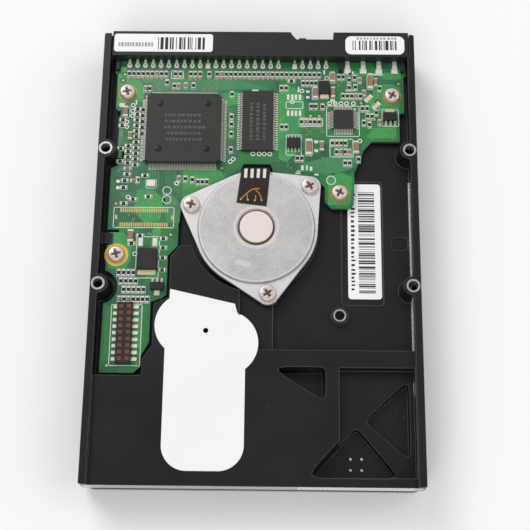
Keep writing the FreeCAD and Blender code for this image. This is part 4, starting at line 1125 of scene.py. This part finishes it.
class DRIVE_OT_leads(bpy.types.Operator):
    """Bend the leads of every chip down to the board"""
    bl_idname = "drive.leads"
    bl_label = "Chip leads"

    def execute(self, context):
        tin = use("tin")
        rows = (
            ("controller_leads", lead_shape(1.55, 1.3, 0.26),
             side_rows(-23.6, 39.5, 12, 0.5, 43)),
            ("memory_leads", lead_shape(1.5, 0.62, 0.42), side_rows(-0.1, 42.9, 5, 0.8, 25, 2)),
            ("servo_leads", lead_shape(1.7, 0.8, 0.26), side_rows(27.2, 43.5, 3.3, 0.5, 12)),
            ("small_chip_leads", lead_shape(1.2, 0.7, 0.45),
             [(11.4 + 1.1 * (i - 1.5), 35.3 + s * 1.7, BOARD_TOP, 0 if s > 0 else 180)
              for i in range(4) for s in (-1, 1)]),
            ("regulator_leads", lead_shape(1.6, 0.7, 0.7),
             [(40.8 + 1.45 * i, 43.2, BOARD_TOP, 180) for i in range(3)]
             + [(-31.5 + 1.4 * i, -11.4, BOARD_TOP, 0) for i in range(3)]))
        for name, shape, spots in rows:
            keep(repeat(name, shape, spots, tin), "pin_tin")
        tabs = Pile()
        for x0, y0, x1, y1, z in ((40.6, 46.0, 43.6, 47.6, 0.5), (19.8, 50.9, 22.6, 52.4, 0.9),
                                  (-36.2, -8.9, -30.7, -7.3, 0.7), (19.6, 56.8, 22.8, 57.7, 0.4),
                                  (-30.9, -15.4, -29.2, -13.7, 0.4)):
            tab = soft_block(x0, y0, x1, y1, BOARD_TOP, BOARD_TOP + z, 0.15)
            tabs.add(tab.points, tab.faces)
        keep(tabs.made("regulator_tabs", use("pale part")), "pin_tin")
        marks = Pile()
        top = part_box("controller_chip")[1].z / MM
        wells = [(x, y, top) for x in (-31.3, -16.1) for y in (32.0, 47.7)]
        keep(repeat("chip_wells", dome_shape(24), wells, use("chip well"), 2.2, 2.2, 0.02),
             "chip_black")
        rng = random.Random(3)
        for i in range(5):
            y = 43.2 - 2.1 * i
            x = -30.0 + rng.uniform(0, 1.5)
            while x < -17.5 - rng.uniform(0, 1.5):
                wide = rng.uniform(0.5, 1.0)
                marks.block(x, y, x + wide, y + 0.9, top, top + INK)
                x += wide + rng.uniform(0.25, 0.7)
        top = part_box("memory_chip")[1].z / MM
        for i in range(3):
            for y, long in uneven(rng, 36.0, 49.0, (0.5, 1.1), (0.25, 0.7)):
                marks.block(-2.6 + 2.1 * i, y, -1.7 + 2.1 * i, y + long, top, top + INK)
        keep(marks.made("chip_marks", use("chip print")), "chip_black")
        return {"FINISHED"}


class DRIVE_OT_head_socket(bpy.types.Operator):
    """Solder the tails of the head connector"""
    bl_idname = "drive.head_socket"
    bl_label = "Head connector tails"

    def execute(self, context):
        spots = [(x, y, BOARD_TOP, 0) for y in HEAD_ROWS for x in (-42.0, -36.2)]
        keep(repeat("head_socket_tails", block_shape(), spots, use("solder"), 1.9, 1.0, 0.5),
             "pin_tin")
        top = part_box("head_connector_contacts")[1].z / MM
        # Dark blocks in the contact cups are painted shade in the socket's hollows; a gold point
        # sits on each.
        cups = [(x, y, top - 0.27) for y in HEAD_ROWS for x in (-40.5, -38.1)]
        keep(repeat("head_socket_hollows", block_shape(), cups, use("contact hollow"), 0.74,
                    0.66, 0.3), "film_black")
        keep(repeat("head_socket_points", dome_shape(), [(x, y, z + 0.28) for x, y, z in cups],
                    use("gold"), 0.24, 0.24, 0.1), "contact_gold")
        return {"FINISHED"}


class DRIVE_OT_connector_tails(bpy.types.Operator):
    """Solder the rear connector's tails to the board"""
    bl_idname = "drive.connector_tails"
    bl_label = "Connector tails"

    def execute(self, context):
        signal = [x for i, x in enumerate(IDE_TAILS) if i != KEYED_TAIL] + JUMPER_TAILS[1:]
        signal = [(x, TAIL_LINE, BOARD_TOP, 0) for x in signal]
        keep(repeat("signal_tails", tail_shape(), signal, use("solder")), "pin_tin")
        # Dark dots in the middle of each solder ring are painted shade down the pin holes.
        bores = [(x, y, BOARD_TOP + 0.64) for x, y, *_ in signal]
        bores += [(x, 62.2, BOARD_TOP + 0.5) for x in POWER_TAILS]
        keep(repeat("tail_bores", dome_shape(), bores, use("hole"), 0.62, 0.62, 0.08),
             "film_black")
        blocks = [(x, TAIL_LINE, BOARD_TOP) for x in (IDE_TAILS[KEYED_TAIL], JUMPER_TAILS[0])]
        keep(repeat("square_tails", block_shape(), blocks, use("solder"), 1.5, 1.8, 0.7),
             "pin_tin")
        power = [(x, 61.7, BOARD_TOP, 0) for x in POWER_TAILS]
        keep(repeat("power_tails", power_tail_shape(), power, use("solder")), "pin_tin")
        return {"FINISHED"}


class DRIVE_OT_screw_heads(bpy.types.Operator):
    """Turn the pan heads with their cross recesses"""
    bl_idname = "drive.screw_heads"
    bl_label = "Screw heads"

    def execute(self, context):
        for node, spots, radius, seat, turn in (
                ("board_screws", SCREWS, 2.5, BOARD_TOP, 12),
                ("motor_screws", EARS, 2.65, None, 31)):
            low, high = [corner.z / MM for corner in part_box(node)]
            seat = seat if seat is not None else high - 1.4
            shape = screw_shape(radius, high - seat, low - seat).made("shape", use("screw face"))
            places = [(x, y, seat, turn + 47 * i) for i, (x, y) in enumerate(spots)]
            piece = repeat(node.replace("screws", "pan_heads"), shape, places, use("screw face"),
                           smooth=True)
            keep(piece, "bright_screw", node)
            # Dark crosses sunk in each recess are painted shade in the hollow of the cross drive.
            arm, reach = 0.11 * radius, 0.5 * radius
            cross = Pile()
            cross.prism([(-arm, -reach), (arm, -reach), (arm, -arm), (reach, -arm), (reach, arm),
                         (arm, arm), (arm, reach), (-arm, reach), (-arm, arm), (-reach, arm),
                         (-reach, -arm), (-arm, -arm)], 0.0, 0.62 * (high - seat))
            keep(repeat(node.replace("screws", "drive_crosses"), shape_of(cross), places,
                        use("recess")), "bright_screw")
        return {"FINISHED"}


class DRIVE_OT_motor_details(bpy.types.Operator):
    """Add the copper tracks, fingers and solder dots of the motor flex"""
    bl_idname = "drive.motor_details"
    bl_label = "Motor flex details"

    def execute(self, context):
        low = FLANGE_TOP + 0.2
        wires, fingers = Pile(), Pile()
        dots = [(-4.9, 15.0, low), (-2.7, 14.8, low), (-0.6, 14.6, low), (1.5, 14.7, low)]
        high = low + 0.06
        arc = [(-4.9 + 5.8 * t, 15.0 + 3.4 * math.sin(1.9 * t) + 0.2 * t)
               for t in [i / 12 for i in range(13)]]
        wires.ribbon(arc, 0.3, low, high)
        for x, y, lean in ((-2.7, 14.8, -0.35), (-0.6, 14.6, 0.35)):
            wires.ribbon([(x, y), (x + lean, y + 0.9), (x + lean * 0.6, y + 1.8)], 0.26, low,
                         high)
        wires.ribbon([(1.5, 14.7), (1.3, 15.9), (0.5, 17.3), (-0.4, 18.1)], 0.26, low, high)
        for i in range(4):
            x = -3.5 + 1.95 * i
            fingers.prism([(x - 0.55, 22.2), (x + 0.4, 22.1), (x + 0.55, 25.2), (x - 0.4, 25.2)],
                          low, high)
        keep(wires.made("flex_tracks", use("wire")), "copper_wire")
        keep(fingers.made("flex_fingers", use("solder")), "pin_tin")
        keep(repeat("flex_solder", dome_shape(), dots, use("gold"), 0.7, 0.7, 0.25, True),
             "copper_wire")
        mark = Pile()
        mark.prism([(-6.4, -5.2), (-5.9, -4.6), (-1.6, -5.4), (-1.2, -6.2), (-1.5, -7.0),
                    (-2.2, -7.2), (-6.0, -6.3)], FLANGE_TOP - 0.01, FLANGE_TOP + 0.05)
        keep(mark.made("flange_mark", use("pressed mark")), "cast_aluminium")
        return {"FINISHED"}


def bars(pile, start, end, across, low, high, count, seed, upright=True):
    """Printed bars of uneven width between two places, as on any parcel label."""
    rng = random.Random(seed)
    widths = [rng.choice((1, 1, 2, 2, 3, 4)) for _ in range(2 * count)]
    unit = (end - start) / sum(widths)
    place = start
    for i, wide in enumerate(widths):
        if i % 2 == 0:
            a, b = place, place + wide * unit
            if upright:
                pile.block(a, across[0], b, across[1], low, high)
            else:
                pile.block(across[0], a, across[1], b, low, high)
        place += wide * unit


class DRIVE_OT_label_print(bpy.types.Operator):
    """Print plain bars on the labels"""
    bl_idname = "drive.label_print"
    bl_label = "Label print"

    def execute(self, context):
        prints = settings("drive_print")
        pile = Pile()
        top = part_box("barcode_label")[1].z / MM
        bars(pile, -13.4, 20.2, (31.7, 36.8), top, top + INK, prints.bar_count, prints.seed,
             upright=False)
        rng = random.Random(prints.seed)
        for y, long in uneven(rng, -12.5, 20.0, (0.5, 0.95), (0.55, 0.9)):
            pile.block(29.4, y, 29.4 + rng.uniform(0.8, 1.4), y + long, top, top + INK)
        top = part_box("connector_label_left")[1].z / MM
        bars(pile, -32.6, -17.0, (66.4, 70.8), top, top + INK, 15, 21)
        bars(pile, 30.2, 45.4, (66.6, 70.0), top, top + INK, 16, 4)
        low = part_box("cover_label")[0].z / MM
        bars(pile, -30.0, 6.0, (-44.0, -36.0), low - INK, low, 34, 9)
        for row in range(9):
            end = 24.0 - 3.0 * (row % 3)
            for x, wide in uneven(rng, -30.0, end, (1.2, 5.0), (0.8, 1.6)):
                pile.block(x, 34.0 - 6.4 * row, x + wide, 35.6 - 6.4 * row, low - INK, low)
        pile.frame(-33.0, -47.0, 33.0, 45.0, 0.5, low - INK, low)
        keep(pile.made("label_bars", use("ink")), "white_label")
        faint = Pile()
        for start, end, foot, head, lengths, gaps in (
                (-45.4, -34.6, 67.4, 68.9, (0.5, 0.8), (0.2, 0.4)),
                (31.5, 44.0, 70.4, 71.2, (0.5, 0.9), (0.3, 0.6))):
            for x, wide in uneven(rng, start, end, lengths, gaps):
                faint.block(x, foot, x + wide, head, top, top + INK)
        keep(faint.made("label_faint_print", use("soft ink")), "white_label")
        return {"FINISHED"}


class DRIVE_OT_pocket_pins(bpy.types.Operator):
    """Set the four bright ejector marks in the lower pocket"""
    bl_idname = "drive.pocket_pins"
    bl_label = "Pocket pins"

    def execute(self, context):
        pitch = 3.3
        spots = [(28.6 + pitch * i, -66.7 + pitch * j - 0.4, 8.8) for i in (0, 1) for j in (0, 1)]
        keep(repeat("pocket_pins", dome_shape(), spots, use("tin"), 0.9, 0.9, 0.15, True),
             "cast_aluminium")
        return {"FINISHED"}


class DRIVE_OT_stage(bpy.types.Operator):
    """Set the floor, the soft light and the camera"""
    bl_idname = "drive.stage"
    bl_label = "Stage"

    def execute(self, context):
        scene = context.scene
        stage = settings("drive_stage")
        floor = Pile()
        far, level = 4000, -0.05
        floor.add([(-far, -far, level), (far, -far, level), (far, far, level),
                   (-far, far, level)], [[0, 1, 2, 3]])
        sheet = Finish("table", (0.94, 0.94, 0.94), 0.8, Specular_IOR_Level=0.2)
        sheet.set("Base Color", sheet.mix(sheet.noise(14.0), (0.935, 0.935, 0.935),
                                          (0.955, 0.955, 0.95)))
        floor.made("table_top", sheet.material)
        world = bpy.data.worlds.new("studio")
        scene.world = world
        world.use_nodes = True
        sky = world.node_tree.nodes["Background"].inputs
        sky[0].default_value = (0.97, 0.985, 1.0, 1)
        sky[1].default_value = 0.44
        for name, place, size, power in (
                ("key", (-0.55, 0.75, 0.95), 0.7, 7.0),
                ("fill", (0.8, 0.1, 0.8), 0.9, 3.2),
                ("front", (-0.15, -0.85, 0.75), 0.8, 4.2)):
            light = bpy.data.lights.new(name, "AREA")
            light.shape, light.size, light.energy = "SQUARE", size, power
            lamp = bpy.data.objects.new(name, light)
            lamp.location = place
            lamp.rotation_euler = (-Vector(place)).to_track_quat("-Z", "Y").to_euler()
            scene.collection.objects.link(lamp)
        lens = bpy.data.cameras.new("camera")
        lens.sensor_width, lens.lens = 36.0, stage.focal
        lens.clip_start, lens.clip_end = 0.01, 20.0
        camera = bpy.data.objects.new("camera", lens)
        camera.location = stage.camera_place
        camera.rotation_euler = stage.camera_turn
        scene.collection.objects.link(camera)
        scene.camera = camera
        scene.view_settings.view_transform = "Standard"
        scene.view_settings.look = "None"
        scene.view_settings.exposure = 0.0
        return {"FINISHED"}


OPERATORS = (DRIVE_OT_finishes, DRIVE_OT_copper, DRIVE_OT_silkscreen, DRIVE_OT_chip_parts,
             DRIVE_OT_gold, DRIVE_OT_leads, DRIVE_OT_head_socket, DRIVE_OT_connector_tails,
             DRIVE_OT_screw_heads, DRIVE_OT_motor_details, DRIVE_OT_label_print,
             DRIVE_OT_pocket_pins, DRIVE_OT_stage)


class DRIVE_PT_panel(bpy.types.Panel):
    """Lists the steps in the order they are run"""
    bl_label = "Drive"
    bl_idname = "DRIVE_PT_panel"
    bl_space_type = "VIEW_3D"
    bl_region_type = "UI"
    bl_category = "Drive"

    def draw(self, context):
        for name, group in SETTINGS.items():
            for prop in group.__annotations__:
                self.layout.prop(getattr(context.scene, name), prop)
        for operator in OPERATORS:
            self.layout.operator(operator.bl_idname)


CLASSES = (*SETTINGS.values(), *OPERATORS, DRIVE_PT_panel)


def register():
    for made in CLASSES:
        bpy.utils.register_class(made)
    for name, group in SETTINGS.items():
        setattr(bpy.types.Scene, name, bpy.props.PointerProperty(type=group))


def unregister():
    for name in SETTINGS:
        delattr(bpy.types.Scene, name)
    for made in reversed(CLASSES):
        bpy.utils.unregister_class(made)


def main():
    register()
    for operator in OPERATORS:
        family, verb = operator.bl_idname.split(".")
        getattr(getattr(bpy.ops, family), verb)()


if __name__ == "__main__":
    main()
